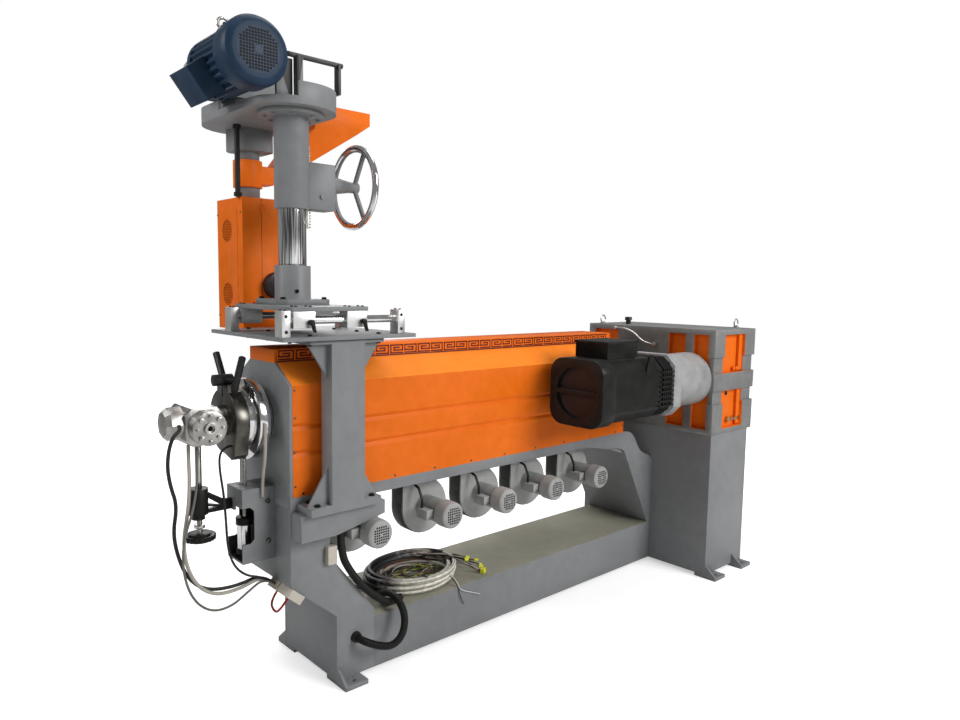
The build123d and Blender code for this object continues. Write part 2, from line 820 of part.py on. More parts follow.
# Gearbox case: three cast bands on a core, with recesses between its posts
with BuildPart() as gearbox:
    block(
        (frame_end_x + gearbox_neck, gearbox_end_x - gearbox_neck),
        (pedestal_front_y + gearbox_neck, pedestal_back_y - gearbox_neck),
        (gearbox_bands[0][0], gearbox_bands[2][1]),
    )
    for band in gearbox_bands:
        block((frame_end_x, gearbox_end_x), (pedestal_front_y, pedestal_back_y), band)
    for low, high in (
        (gearbox_bands[0][0] + recess_margin, gearbox_bands[1][0]),
        (gearbox_bands[1][1], gearbox_bands[2][1] - recess_margin),
    ):
        for face_y, inward in ((pedestal_front_y, 1), (pedestal_back_y, -1)):
            block(
                front_recess_x,
                sorted((face_y, face_y + inward * recess_depth)),
                (low, high),
                mode=Mode.SUBTRACT,
            )
        for face_x, inward in ((frame_end_x, 1), (gearbox_end_x, -1)):
            for side_recess in side_recess_ys:
                block(
                    sorted((face_x, face_x + inward * recess_depth)),
                    side_recess,
                    (low, high),
                    mode=Mode.SUBTRACT,
                )
finish(gearbox, "gearbox_case")

# Feed throat between the barrel cover and the gearbox
with BuildPart() as feed_throat:
    feed_y = (barrel_y - feed_half, barrel_y + feed_half)
    block((cover_end_x, frame_end_x), feed_y, (barrel_z - feed_half, barrel_z + feed_half))
    block(feed_neck_x, (barrel_y - feed_neck_half, barrel_y + feed_neck_half), (barrel_z, feed_top_z))
    block(
        feed_mouth_x,
        (barrel_y - feed_mouth_half, barrel_y + feed_mouth_half),
        (feed_top_z - feed_depth, feed_top_z),
        mode=Mode.SUBTRACT,
    )
finish(feed_throat, "feed_throat")

# Main motor: cowl with a barred mouth, flat sided body and fins at the flange
with BuildPart() as main_motor:
    motor_at = (motor_y, motor_z)
    with BuildSketch(end_plane(motor_rear_x)):
        with Locations(motor_at):
            RectangleRounded(2 * motor_half, 2 * motor_half, motor_corner)
    extrude(amount=motor_cowl_x - motor_rear_x)
    with BuildSketch(end_plane(motor_rear_x)):
        with Locations(motor_at):
            RegularPolygon(motor_mouth_radius, fan_sides)
            Rectangle(2 * motor_half, 2 * motor_bar_half, mode=Mode.SUBTRACT)
    extrude(amount=motor_mouth_depth, mode=Mode.SUBTRACT)
    with BuildSketch(end_plane(motor_cowl_x)):
        with Locations(motor_at):
            Rectangle(2 * motor_body_half, 2 * motor_body_half)
        chamfer(vertices(), motor_body_chamfer)
    extrude(amount=motor_fin_x - motor_cowl_x)
    drum(end_plane(motor_fin_x), motor_at, motor_core_radius, motor_flange_x - motor_fin_x, fan_sides)
    fin_pitch = (motor_flange_x - motor_fin_x) / (motor_fins + 1)
    for fin in range(1, motor_fins + 1):
        with BuildSketch(end_plane(motor_fin_x + fin * fin_pitch)):
            with Locations(motor_at):
                Rectangle(2 * motor_body_half, 2 * motor_body_half)
            chamfer(vertices(), motor_body_chamfer)
        extrude(amount=motor_fin_thick)
    block(
        (terminal_box_x[0] + plate, terminal_box_x[1] - plate),
        (terminal_box_y[0] + plate, terminal_box_y[1] - plate),
        (motor_z, motor_z + motor_half),
    )
finish(main_motor, "main_motor")

with BuildPart() as terminal_box:
    block(
        (terminal_box_x[0] + terminal_lid / 2, terminal_box_x[1] - terminal_lid / 2),
        (terminal_box_y[0] + terminal_lid / 2, terminal_box_y[1] - terminal_lid / 2),
        (motor_z + motor_half, terminal_box_top - terminal_lid),
    )
    block(terminal_box_x, terminal_box_y, (terminal_box_top - terminal_lid, terminal_box_top))
finish(terminal_box, "terminal_box")

# Flange and domed bell between the motor and the gearbox
with BuildPart() as adaptor:
    flange_end_x = motor_flange_x + flange_thick
    with BuildSketch(end_plane(motor_flange_x)):
        with Locations(motor_at):
            Rectangle(2 * motor_flange_half, 2 * motor_flange_half)
        chamfer(vertices(), motor_flange_chamfer)
    extrude(amount=flange_thick)
    with BuildSketch(front_plane(motor_y)):
        with BuildLine():
            Polyline(
                (bell_shoulder_x, motor_z + bell_radius), (frame_end_x, motor_z + bell_radius),
                (frame_end_x, motor_z), (flange_end_x, motor_z), (flange_end_x, motor_z + bell_start_radius),
            )
            TangentArc(
                (bell_shoulder_x, motor_z + bell_radius), (flange_end_x, motor_z + bell_start_radius),
                tangent=(-1, 0),
            )
        make_face()
    revolve(axis=Axis(at(motor_flange_x, motor_y, motor_z), (1, 0, 0)))
finish(adaptor, "motor_adaptor")

# Fans: a scroll on the deck, a small motor facing the front, its terminal box and lead
for number, fan_x in enumerate(fan_xs, start=1):
    with BuildPart() as fan:
        drum(front_plane(fan_y[1]), (fan_x, fan_z), fan_radius, fan_y[1] - fan_y[0], fan_sides)
        drum(
            front_plane(fan_y[1] - fan_band), (fan_x, fan_z), fan_radius + fan_band_rise,
            fan_y[1] - fan_y[0] - 2 * fan_band, fan_sides,
        )
        block((fan_x - fan_radius, fan_x), fan_y, (fan_z, side_bottom_z))
        drum(front_plane(fan_y[0]), (fan_x, fan_z), fan_motor_radius, fan_y[0] - fan_motor_y, fan_motor_sides)
        drum(
            front_plane(fan_motor_y), (fan_x, fan_z), fan_cowl_radius, fan_motor_y - fan_cowl_y,
            fan_motor_sides,
        )
        block([fan_x + x for x in fan_box_x], fan_box_y, [fan_z + z for z in fan_box_z])
        with BuildLine() as lead:
            FilletPolyline(*[at(fan_x + x, y, fan_z + z) for x, y, z in lead_points], radius=lead_bend)
        with BuildSketch(Plane(origin=lead.line @ 0, z_dir=lead.line % 0)):
            Rectangle(lead_size, lead_size)
        sweep(path=lead.line)
    finish(fan, f"fan_{number}")

# Shelf on the front leg, with the hose gland and a small connector under it
with BuildPart() as shelf:
    with BuildSketch(front_plane(0)):
        Polygon(
            (shelf_x, shelf_z[0]), (shelf_taper_x, shelf_z[0]), (leg_right_x, shelf_taper_z),
            (leg_right_x, shelf_z[1]), (shelf_x, shelf_z[1]),
            align=None,
        )
    extrude(amount=-shelf_y)
    drum(level_plane(gland_z), leg_hose_points[0][:2], gland_radius, shelf_taper_z - gland_z, 12)
    block(*small_connector)
finish(shelf, "shelf_box")

# Bracket: foot plate, square post, gussets and top plate
with BuildPart() as bracket:
    block(foot_plate_x, foot_plate_y, (shelf_z[1], foot_plate_top))
    block(post_x, post_y, (foot_plate_top, bracket_top_z))
    with BuildSketch(front_plane(gusset_y)):
        for edge, out, foot_gusset in ((post_x[0], -1, foot_gussets[0]), (post_x[1], 1, foot_gussets[1])):
            Polygon(
                (edge, foot_plate_top), (edge + out * foot_gusset[0], foot_plate_top),
                (edge, foot_plate_top + foot_gusset[1]),
                align=None,
            )
            Polygon(
                (edge, bracket_top_z), (edge + out * top_gusset[0], bracket_top_z),
                (edge, bracket_top_z - top_gusset[1]),
                align=None,
            )
    extrude(amount=-gusset_thick)
    block(
        (post_x[0] - bracket_reach, post_x[1] + bracket_reach), (post_y[0], bracket_back_y),
        (bracket_top_z, platform_z[0]),
    )
finish(bracket, "bracket_post")

# Platform
with BuildPart() as platform:
    block(platform_x, platform_y, platform_z)
finish(platform, "platform")

# Rails and the blocks at their ends
with BuildPart() as rails:
    for rail_y in rail_ys:
        with BuildSketch(end_plane(rail_block_x[0][1])):
            with Locations((rail_y, rail_z)):
                Circle(rail_radius)
        extrude(amount=rail_block_x[1][0] - rail_block_x[0][1])
finish(rails, "slide_rails")

with BuildPart() as rail_blocks:
    for rail_y in rail_ys:
        for block_x in rail_block_x:
            block(
                block_x, (rail_y - rail_block_half_y, rail_y + rail_block_half_y),
                (platform_z[1], rail_block_top),
            )
finish(rail_blocks, "rail_blocks")

# Carriage plate and its bearing blocks
with BuildPart() as carriage:
    block(carriage_x, carriage_y, carriage_z)
finish(carriage, "carriage_plate")

with BuildPart() as bearings:
    for rail_y in rail_ys:
        for left, right in bearing_x:
            with BuildSketch(end_plane(left)):
                rectangle(
                    (rail_y - rail_block_half_y, bearing_bottom_z), (rail_y + rail_block_half_y, carriage_z[0])
                )
                with Locations((rail_y, rail_z)):
                    Circle(rail_radius + fit_gap, mode=Mode.SUBTRACT)
            extrude(amount=right - left)
finish(bearings, "bearing_blocks")

# Clamp levers on the front bearing blocks
lever_y = rail_ys[0] - rail_block_half_y
for name, (left, right) in zip(("left_clamp_lever", "right_clamp_lever"), bearing_x):
    lever_x = left + lever_pivot[0]
    with BuildPart() as lever:
        with BuildSketch(front_plane(lever_y - fit_gap)):
            with Locations((lever_x, lever_pivot[1])):
                Circle(lever_hub_radius)
        extrude(amount=lever_hub_length)
        with BuildSketch(front_plane(lever_y - lever_plate[0])):
            Polygon(
                (lever_x - 7, lever_pivot[1]), (lever_x + 7, lever_pivot[1]),
                (lever_x + 14, lever_pivot[1] - lever_drop), (lever_x + 6, lever_pivot[1] - lever_drop),
                align=None,
            )
        extrude(amount=lever_plate[1])
    finish(lever, name)

# Column base with chamfered corners, and its collar
column_at = (column_x, column_y)
with BuildPart() as column_base:
    with BuildSketch(level_plane(carriage_z[1])):
        with Locations(column_at):
            Rectangle(2 * base_half, 2 * base_half)
        chamfer(vertices(), base_chamfer)
    extrude(amount=base_top_z - carriage_z[1])
    with BuildSketch(level_plane(base_top_z)):
        with Locations(column_at):
            Circle(collar_radius)
    extrude(amount=collar_top_z - base_top_z)
finish(column_base, "column_base")

# Column and the rack bolted to it
with BuildPart() as column:
    with BuildSketch(level_plane(collar_top_z)):
        with Locations(column_at):
            Circle(column_radius)
    extrude(amount=column_top_z - collar_top_z)
finish(column, "column")

with BuildPart() as rack:
    tooth_x = rack_x[1] - tooth_depth
    with BuildSketch(level_plane(rack_z[0])):
        rectangle((rack_x[0], column_y - rack_half_y), (tooth_x, column_y + rack_half_y))
        with Locations(column_at):
            Circle(column_radius, mode=Mode.SUBTRACT)
    extrude(amount=rack_z[1] - rack_z[0])
    with BuildSketch(front_plane(column_y + rack_half_y)):
        for tooth in range(int((rack_z[1] - rack_z[0]) / tooth_pitch)):
            tooth_z = rack_z[0] + (tooth + 0.5) * tooth_pitch
            Polygon(
                (tooth_x, tooth_z - tooth_root), (rack_x[1], tooth_z - tooth_tip),
                (rack_x[1], tooth_z + tooth_tip), (tooth_x, tooth_z + tooth_root),
                align=None,
            )
    extrude(amount=2 * rack_half_y)
finish(rack, "rack")

# Sleeve: slides on the column, slotted for the rack, with the bed flange
with BuildPart() as sleeve:
    flange_z = bed_z - flange_height
    with BuildSketch(level_plane(sleeve_bottom_z)):
        with Locations(column_at):
            Circle(sleeve_radius)
    extrude(amount=bed_z - sleeve_bottom_z)
    drum(level_plane(flange_z), column_at, flange_radius, flange_height, fan_sides)
    with BuildSketch(level_plane(sleeve_bottom_z)):
        with Locations(column_at):
            Circle(column_radius + fit_gap)
    extrude(amount=bed_z - sleeve_bottom_z, mode=Mode.SUBTRACT)
    block(
        (column_x, column_x + flange_radius),
        (column_y - rack_half_y - rack_gap, column_y + rack_half_y + rack_gap),
        (sleeve_bottom_z, flange_z),
        mode=Mode.SUBTRACT,
    )
finish(sleeve, "sleeve")

# Rack box beside the sleeve
with BuildPart() as rack_box:
    with BuildSketch(level_plane(rack_box_z[0])):
        rectangle((rack_box_x[0], column_y - rack_box_half_y), (rack_box_x[1], column_y + rack_box_half_y))
        with Locations(column_at):
            Circle(sleeve_radius, mode=Mode.SUBTRACT)
        rectangle(
            (rack_box_x[0], column_y - rack_half_y - rack_gap),
            (rack_x[1] + rack_gap, column_y + rack_half_y + rack_gap),
            mode=Mode.SUBTRACT,
        )
    extrude(amount=rack_box_z[1] - rack_box_z[0])
finish(rack_box, "rack_box")

# Handwheel: hub cone, three spokes and a chromed rim
wheel_axis = Axis(at(rack_box_x[1], column_y, wheel_z), (1, 0, 0))
with BuildPart() as handwheel:
    with BuildSketch(front_plane(column_y)):
        Polygon(
            (rack_box_x[1] + fit_gap, wheel_z), (rack_box_x[1] + fit_gap, wheel_z + hub_radius[0]),
            (wheel_x - hub_radius[1], wheel_z + hub_radius[1]), (wheel_x + hub_nose, wheel_z + hub_radius[1]),
            (wheel_x + hub_nose, wheel_z),
            align=None,
        )
    revolve(axis=wheel_axis)
    with BuildSketch(front_plane(column_y)):
        with Locations((wheel_x, wheel_z + wheel_radius - rim_depth / 2)):
            Rectangle(rim_width, rim_depth)
        chamfer(vertices(), rim_chamfer)
    revolve(axis=wheel_axis)
    for spoke in range(spokes):
        turn = 2 * pi * spoke / spokes
        reach = wheel_radius - rim_depth + 2
        rod(
            (wheel_x, column_y, wheel_z),
            (wheel_x, column_y + reach * cos(turn), wheel_z + reach * sin(turn)),
            spoke_radius,
            8,
        )
finish(handwheel, "handwheel")

# Bed: a pan with rounded ends, high walls behind and beside, low rim at the
# motor, the crane bar over it and the plate that steadies the motor
bed_length = bed_back_y - bed_front_y
bed_centre = (bed_centre_x, (bed_front_y + bed_back_y) / 2)
bed_left_x = bed_centre_x - bed_half_x
with BuildPart() as bed:
    with BuildSketch(level_plane(bed_z)):
        with Locations(bed_centre):
            RectangleRounded(2 * bed_half_x, bed_length, bed_corner)
    extrude(amount=bed_wall_top - bed_z)
    with BuildSketch(level_plane(bed_z + bed_floor)):
        with Locations(bed_centre):
            RectangleRounded(
                2 * (bed_half_x - bed_wall_thick), bed_length - 2 * bed_wall_thick, bed_corner - bed_wall_thick
            )
    extrude(amount=bed_wall_top - bed_z, mode=Mode.SUBTRACT)
    block(
        (bed_left_x - 1, bed_low_corner[0]), (bed_front_y - 1, bed_low_corner[1]),
        (bed_z + bed_rim, bed_wall_top), mode=Mode.SUBTRACT,
    )
    block(
        (bed_left_x - 1, bed_low_corner[0]), (bed_low_corner[1] - 1, bed_back_y + 1),
        (bed_left_wall_top, bed_wall_top), mode=Mode.SUBTRACT,
    )
    post_half = (bar_post_x[1] - bar_post_x[0]) / 2
    block(bar_post_x, (bar_y - post_half, bar_y + post_half), (bed_z + bed_floor, bar_z))
    block(bar_leg_x, (bar_y - bar_leg_half, bar_y + bar_leg_half), (bed_wall_top, bar_z))
    rod((bar_x[0], bar_y, bar_z), (bar_x[1], bar_y, bar_z), bar_radius)
    block(motor_plate_x, motor_plate_y, (bed_z + bed_floor, motor_plate_top_z))
finish(bed, "bed")

# Vertical drive: housing and neck under the bed, reducer on it
screw_at = (screw_x, screw_y)
with BuildPart() as housing:
    with BuildSketch(level_plane(housing_z[0])):
        rectangle((housing_x[0], housing_y[0]), (housing_x[1], housing_y[1]))
        chamfer(vertices(), housing_chamfer)
    extrude(amount=housing_z[1] - housing_z[0])
    drum(level_plane(throat_z[1]), screw_at, neck_radius, housing_z[0] - throat_z[1], fan_motor_sides)
finish(housing, "drive_housing")

with BuildPart() as reducer:
    for low, high, margin in (
        (bed_z + bed_floor, reducer_top_z - reducer_lid, reducer_step),
        (reducer_top_z - reducer_lid, reducer_top_z, 0),
    ):
        with BuildSketch(level_plane(low)):
            rectangle(
                (reducer_x[0] + margin, reducer_y[0] + margin), (reducer_x[1] - margin, reducer_y[1] - margin)
            )
            chamfer(vertices(), reducer_chamfer)
        extrude(amount=high - low)
    with BuildSketch(front_plane(lift_motor_y[1])):
        with Locations((lift_motor_x, lift_motor_z)):
            RegularPolygon(reducer_nose_radius, fan_sides)
    extrude(amount=lift_motor_y[1] - reducer_nose_y)
    block(
        (lift_motor_x, reducer_x[0] + reducer_arm[0]),
        (reducer_y[0], reducer_y[0] + reducer_arm[1]),
        (lift_motor_z - reducer_arm[0], lift_motor_z + reducer_arm[0]),
    )
finish(reducer, "reducer")

# Motor of the vertical extruder: domed fan cover, finned body, terminal box
with BuildPart() as lift_motor:
    lift_motor_at = (lift_motor_x, lift_motor_z)
    fin_points = []
    for step in range(4 * lift_fins):
        reach = lift_motor_radius - lift_fin_depth * (step % 4 > 1)
        turn = pi * step / (2 * lift_fins)
        fin_points.append((lift_motor_x + reach * cos(turn), lift_motor_z + reach * sin(turn)))
    with BuildSketch(front_plane(lift_motor_y[1])):
        Polygon(*fin_points, align=None)
    extrude(amount=lift_motor_y[1] - lift_cover_y)
    with BuildSketch(front_plane(lift_motor_y[1])):
        with Locations(lift_motor_at):
            Circle(lift_motor_radius)
    extrude(amount=lift_motor_y[1] - lift_flange_y)
    with BuildSketch(Plane(origin=at(lift_motor_x, 0, lift_motor_z), x_dir=(1, 0, 0), z_dir=(0, 0, 1))):
        Polygon(
            (0, lift_cover_y), (lift_cover_radius, lift_cover_y), (lift_cover_radius, lift_dome_root),
            (lift_dome[0][1], lift_dome[0][0]), (lift_dome[1][1], lift_dome[1][0]),
            (lift_grille_radius, lift_motor_y[0]), (0, lift_motor_y[0]),
            align=None,
        )
    revolve(axis=Axis(at(lift_motor_x, 0, lift_motor_z), (0, 1, 0)))
    with BuildSketch(front_plane(lift_box_y[1])):
        box_turn = radians(lift_box_turn)
        box_reach = sum(lift_box_reach) / 2
        with Locations((lift_motor_x + box_reach * cos(box_turn), lift_motor_z + box_reach * sin(box_turn))):
            Rectangle(lift_box_reach[1] - lift_box_reach[0], lift_box_width, rotation=lift_box_turn)
    extrude(amount=lift_box_y[1] - lift_box_y[0])
finish(lift_motor, "vertical_motor")

# Feed throat with its branch, and the lower neck
with BuildPart() as throat:
    drum(level_plane(cover_z[1]), screw_at, neck_radius, throat_z[0] - cover_z[1], fan_motor_sides)
    drum(level_plane(throat_z[0]), screw_at, throat_radius, throat_z[1] - throat_z[0], fan_sides)
    block(
        (screw_x, chute_end_x), (screw_y - chute_width / 2, screw_y + chute_width / 2),
        (chute_z - chute_height / 2, chute_z + chute_height / 2),
    )
finish(throat, "vertical_throat")


# Hopper: a sheet metal box over a slanted chute to the throat
def hopper_form(inset, top_z, end_x):
    """The hopper's outer form, or its hollow when it is inset."""
    chute_top = chute_z + chute_height / 2
    chute_low = chute_z - chute_height / 2
    chute_front = screw_y - chute_width / 2
    chute_back = screw_y + chute_width / 2
    with BuildPart() as form:
        with BuildSketch(front_plane(hopper_y[0])):
            Polygon(
                (hopper_top[0] + inset, top_z), (hopper_top[1] - inset, top_z),
                (hopper_top[1] - inset, hopper_right_z + inset), (end_x, chute_low + inset),
                (end_x, chute_top - inset), (hopper_top[0] + inset, hopper_left_z - inset / 2),
                align=None,
            )
        extrude(amount=hopper_y[0] - hopper_y[1])
        with BuildSketch(end_plane(end_x)):
            Polygon(
                (hopper_y[0] + inset, top_z), (hopper_y[1] - inset, top_z),
                (hopper_y[1] - inset, hopper_left_z), (chute_back - inset, chute_top),
                (chute_back - inset, chute_low), (chute_front + inset, chute_low),
                (chute_front + inset, chute_top), (hopper_y[0] + inset, hopper_left_z),
                align=None,
            )
        extrude(amount=hopper_top[1] - end_x, mode=Mode.INTERSECT)
    return form.part


with BuildPart() as hopper:
    add(hopper_form(0, hopper_top_z, chute_end_x))
    add(hopper_form(sheet, hopper_top_z + sheet, chute_end_x - sheet), mode=Mode.SUBTRACT)
finish(hopper, "hopper")

# Cover of the vertical barrel with its vents, door and blower
with BuildPart() as shroud:
    block(cover_x, cover_y, cover_z)
    block(
        (cover_x[0], cover_x[0] + door_depth), (door_y[0], door_y[0] + door_depth), door_z,
        mode=Mode.SUBTRACT,
    )
    for vent_z in vent_zs:
        with BuildSketch(end_plane(cover_x[0])):
            with Locations((vent_y, vent_z)):
                RegularPolygon(vent_radius, fan_motor_sides)
        extrude(amount=vent_depth, mode=Mode.SUBTRACT)
    drum(front_plane(cover_y[0]), blower_at, blower_radius, blower_depth, fan_sides)
finish(shroud, "vertical_cover")

# Loose cords
cord("leg_hose", hose_width, leg_hose_points)
cord("return_hose", hose_width, return_hose_points)
cord("head_cable", cable_width, head_cable_points)
cord("heater_cable", cable_width, heater_cable_points)
cord("sensor_cable", thin_width, sensor_cable_points)
cord("ring_hose", cable_width, ring_hose_points)
cord("clamp_cable", thin_width, clamp_cable_points)
cord("red_cable", thin_width, red_cable_points)

# Cable coil: flat turns that lie on each other
with BuildPart() as coil:
    for layer in range(coil_turns):
        inset = coil_turn_inset * layer
        with BuildSketch(level_plane(beam_top_z + layer * coil_turn_height)):
            with Locations(coil_centre):
                Ellipse(coil_radii[0] - inset, coil_radii[1] - inset)
                Ellipse(
                    coil_radii[0] - coil_ring + inset, coil_radii[1] - coil_ring + inset, mode=Mode.SUBTRACT
                )
        extrude(amount=coil_turn_height)
finish(coil, "cable_coil")
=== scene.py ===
import json
import math
import random

import bmesh
import bpy
from mathutils import Matrix, Vector


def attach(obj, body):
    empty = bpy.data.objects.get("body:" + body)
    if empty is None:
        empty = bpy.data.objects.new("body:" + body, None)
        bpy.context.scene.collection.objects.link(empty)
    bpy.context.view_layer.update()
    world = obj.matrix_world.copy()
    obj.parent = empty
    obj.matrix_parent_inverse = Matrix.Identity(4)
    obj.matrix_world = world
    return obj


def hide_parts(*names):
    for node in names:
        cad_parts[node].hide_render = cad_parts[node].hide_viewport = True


# Cable extruder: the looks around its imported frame. Everything is in metres, +Z up. The layout below is
# measured as the machine is drawn: from the front end plate (x = 0), the front side plate (y = 0), the floor
# (z = 0), and at() turns it into the frame's own coordinates.

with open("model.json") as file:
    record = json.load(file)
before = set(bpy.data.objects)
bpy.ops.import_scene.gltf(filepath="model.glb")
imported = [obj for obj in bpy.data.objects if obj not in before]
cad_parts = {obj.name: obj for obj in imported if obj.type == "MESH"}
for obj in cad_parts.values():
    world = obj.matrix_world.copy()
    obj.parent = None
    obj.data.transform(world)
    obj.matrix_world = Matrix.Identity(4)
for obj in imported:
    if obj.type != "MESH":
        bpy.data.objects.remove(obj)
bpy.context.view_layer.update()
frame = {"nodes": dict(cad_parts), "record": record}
nodes = frame["nodes"]
dice = random.Random(7)

ORIGIN_X = 1.0975
ORIGIN_Y = 0.142
PHOTO_WIDTH = 960
FOCAL_PX = 732.862
SENSOR_MM = 36.0
CAMERA_PLACE = (-2.27568, -2.38502, 1.47618)
CAMERA_YAW = math.radians(47.581)
CAMERA_DIP = math.radians(5.724)
CAMERA_ROLL = math.radians(0.886)


def at(x, y, z):
    """A layout position, in metres, in the frame's own coordinates."""
    return Vector((x - ORIGIN_X, y - ORIGIN_Y, z))


# Camera at the photograph's place


def make_camera():
    """A camera with the photograph's place, aim and field of view."""
    data = bpy.data.cameras.new("camera")
    data.sensor_width = SENSOR_MM
    data.lens = FOCAL_PX * SENSOR_MM / PHOTO_WIDTH
    data.clip_start = 0.05
    data.clip_end = 60
    camera = bpy.data.objects.new("camera", data)
    bpy.context.scene.collection.objects.link(camera)
    forward = Vector((
        math.cos(CAMERA_YAW) * math.cos(CAMERA_DIP),
        math.sin(CAMERA_YAW) * math.cos(CAMERA_DIP),
        -math.sin(CAMERA_DIP),
    ))
    level_right = Vector((math.sin(CAMERA_YAW), -math.cos(CAMERA_YAW), 0))
    level_up = level_right.cross(forward)
    right = level_right * math.cos(CAMERA_ROLL) + level_up * math.sin(CAMERA_ROLL)
    up = level_up * math.cos(CAMERA_ROLL) - level_right * math.sin(CAMERA_ROLL)
    turn = Matrix((right, up, -forward)).transposed().to_4x4()
    camera.matrix_world = Matrix.Translation(CAMERA_PLACE) @ turn
    bpy.context.scene.camera = camera


make_camera()


# Shader sockets that can be added and multiplied, and one method for every other node


class Wire:
    """A socket of a node; sums and products on it become Math nodes."""

    def __init__(self, tree, socket):
        self.tree = tree
        self.socket = socket

    def math(self, operation, *values):
        """A Math node on its values, in their order."""
        return self.tree.node("Math", {"operation": operation}, *values)

    def __add__(self, other):
        return self.math("ADD", self, other)

    def __sub__(self, other):
        return self.math("SUBTRACT", self, other)

    def __rsub__(self, other):
        return self.math("SUBTRACT", other, self)

    def __mul__(self, other):
        return self.math("MULTIPLY", self, other)

    def __abs__(self):
        return self.math("ABSOLUTE", self)

    __radd__ = __add__
    __rmul__ = __mul__


class Tree:
    """The nodes of a material or of the world."""

    def __init__(self, node_tree):
        self.node_tree = node_tree

    def node(self, kind, settings, *values, places=None, output=0, **named):
        """Add a node: first its settings, then the values or links of its sockets."""
        made = self.node_tree.nodes.new("ShaderNode" + kind)
        for key, value in settings.items():
            setattr(made, key, value)
        for place, value in zip(places or range(len(values)), values):
            self.plug(made.inputs[place], value)
        for key, value in named.items():
            self.plug(made.inputs[key.replace("_", " ")], value)
        return Wire(self, made.outputs[output])

    def plug(self, socket, value):
        """Give a socket its link, its colour or its plain value."""
        if isinstance(value, Wire):
            self.node_tree.links.new(value.socket, socket)
        elif isinstance(value, tuple) and len(value) == 3 and socket.type == "RGBA":
            socket.default_value = (*value, 1)
        else:
            socket.default_value = value


# A Mix node's own places for colours: its factor, A and B, and their result

MIX_INPUTS = (0, 6, 7)
MIX_OUTPUT = 2


class Shader(Tree):
    """A material with a Principled surface, and its nodes."""

    def __init__(self, name, **values):
        self.material = bpy.data.materials.new(name)
        self.material.use_nodes = True
        super().__init__(self.material.node_tree)
        self.surface = self.node_tree.nodes["Principled BSDF"]
        self.set(**values)

    def set(self, **values):
        """Give the surface's sockets their values or links."""
        for key, value in values.items():
            self.plug(self.surface.inputs[key.replace("_", " ")], value)

    def place(self, scale=(1, 1, 1)):
        """Object coordinates in metres, stretched by scale."""
        coordinates = self.node("TexCoord", {}, output="Object")
        return self.node("Mapping", {"vector_type": "POINT"}, coordinates, Scale=scale)

    def noise(self, size, detail=3, stretch=(1, 1, 1), rough=0.55):
        """Noise from 0 to 1 whose lumps are about size metres across."""
        return self.node("TexNoise", {}, self.place(stretch), Scale=1 / size, Detail=detail, Roughness=rough)

    def blend(self, share, first, second):
        """Mix of two colours."""
        return self.node(
            "Mix", {"data_type": "RGBA"}, share, first, second, places=MIX_INPUTS, output=MIX_OUTPUT
        )

    def bump(self, height, depth):
        """A normal from a height field, depth in metres."""
        return self.node("Bump", {}, Height=height, Distance=depth, Strength=1.0)

    def grade(self, value, low, high):
        """Stretch a value from low..high to 0..1."""
        return self.node("MapRange", {"clamp": True}, value, low, high)


# Finishes


def painted(name, color, rough=0.4, grain=0.0012, depth=0.00006, wear=0.12, shine=0.3):
    """Machine paint: a fine orange-peel skin, slightly uneven gloss, a little dust and handling."""
    shader = Shader(name, Specular_IOR_Level=shine)
    cloud = shader.noise(0.35, 4)
    patch = shader.noise(0.05, 5)
    skin = shader.noise(grain, 2)
    dark = tuple(c * (1 - wear) for c in color)
    pale = tuple(min(1, c * (1 + wear * 0.6) + 0.01) for c in color)
    mottle = shader.grade(cloud * 0.6 + patch * 0.4, 0.35, 0.68)
    shader.set(
        Base_Color=shader.blend(mottle, dark, pale),
        Roughness=shader.grade(patch, 0.2, 0.8) * 0.12 + (rough - 0.06),
        Normal=shader.bump(skin, depth),
    )
    return shader.material


def metal(name, color, rough=0.25, scratch=0.0006, depth=0.00003, wear=0.15):
    """Bare metal with a fine grain, a little uneven in colour and gloss."""
    shader = Shader(name, Metallic=1.0)
    lines = shader.noise(scratch, 3)
    patch = shader.noise(0.06, 4)
    dark = tuple(c * (1 - wear) for c in color)
    shader.set(
        Base_Color=shader.blend(shader.grade(patch, 0.3, 0.7), dark, color),
        Roughness=shader.grade(patch + lines * 0.3, 0.35, 0.95) * 0.14 + (rough - 0.07),
        Normal=shader.bump(lines, depth),
    )
    return shader.material


def plastic(name, color, rough=0.5, grain=0.0008, depth=0.00004):
    """Moulded plastic or rubber with a fine matt grain."""
    shader = Shader(name, Specular_IOR_Level=0.3)
    grains = shader.noise(grain, 2)
    patch = shader.noise(0.04, 3)
    pale = tuple(c * 1.25 + 0.004 for c in color)
    shader.set(
        Base_Color=shader.blend(patch, color, pale),
        Roughness=patch * 0.16 + (rough - 0.08),
        Normal=shader.bump(grains, depth),
    )
    return shader.material


def reflection_streaked(name):
    """Ground chrome with painted reflections: light and dark streaks that run down its length."""
    shader = Shader(name, Metallic=1.0)
    reflection_streaks = shader.noise(0.0045, 2, (1, 1, 0.02))
    patch = shader.noise(0.05, 3)
    shader.set(
        # The light and dark streaks in the colour are painted reflections; their bump is the ground grain
        Base_Color=shader.blend(shader.grade(reflection_streaks, 0.42, 0.58), (0.16, 0.165, 0.17), (0.92, 0.92, 0.92)),
        Roughness=patch * 0.1 + 0.1,
        Normal=shader.bump(reflection_streaks, 0.0004),
    )
    return shader.material


def corrugated(name, color, pitch):
    """A hose or braid whose rings follow its length."""
    shader = Shader(name, Specular_IOR_Level=0.2)
    along = shader.node("SeparateXYZ", {}, shader.node("TexCoord", {}, output="UV"), output="X")
    rings = shader.node("Math", {"operation": "SINE"}, along * (math.pi / pitch))
    patch = shader.noise(0.03, 3)
    pale = tuple(c * 1.4 + 0.006 for c in color)
    shader.set(
        Base_Color=shader.blend(patch, color, pale),
        Roughness=patch * 0.2 + 0.36,
        Normal=shader.bump(rings, pitch / 8),
    )
    return shader.material


# The cable coil's size, which the colours of its sheath follow too

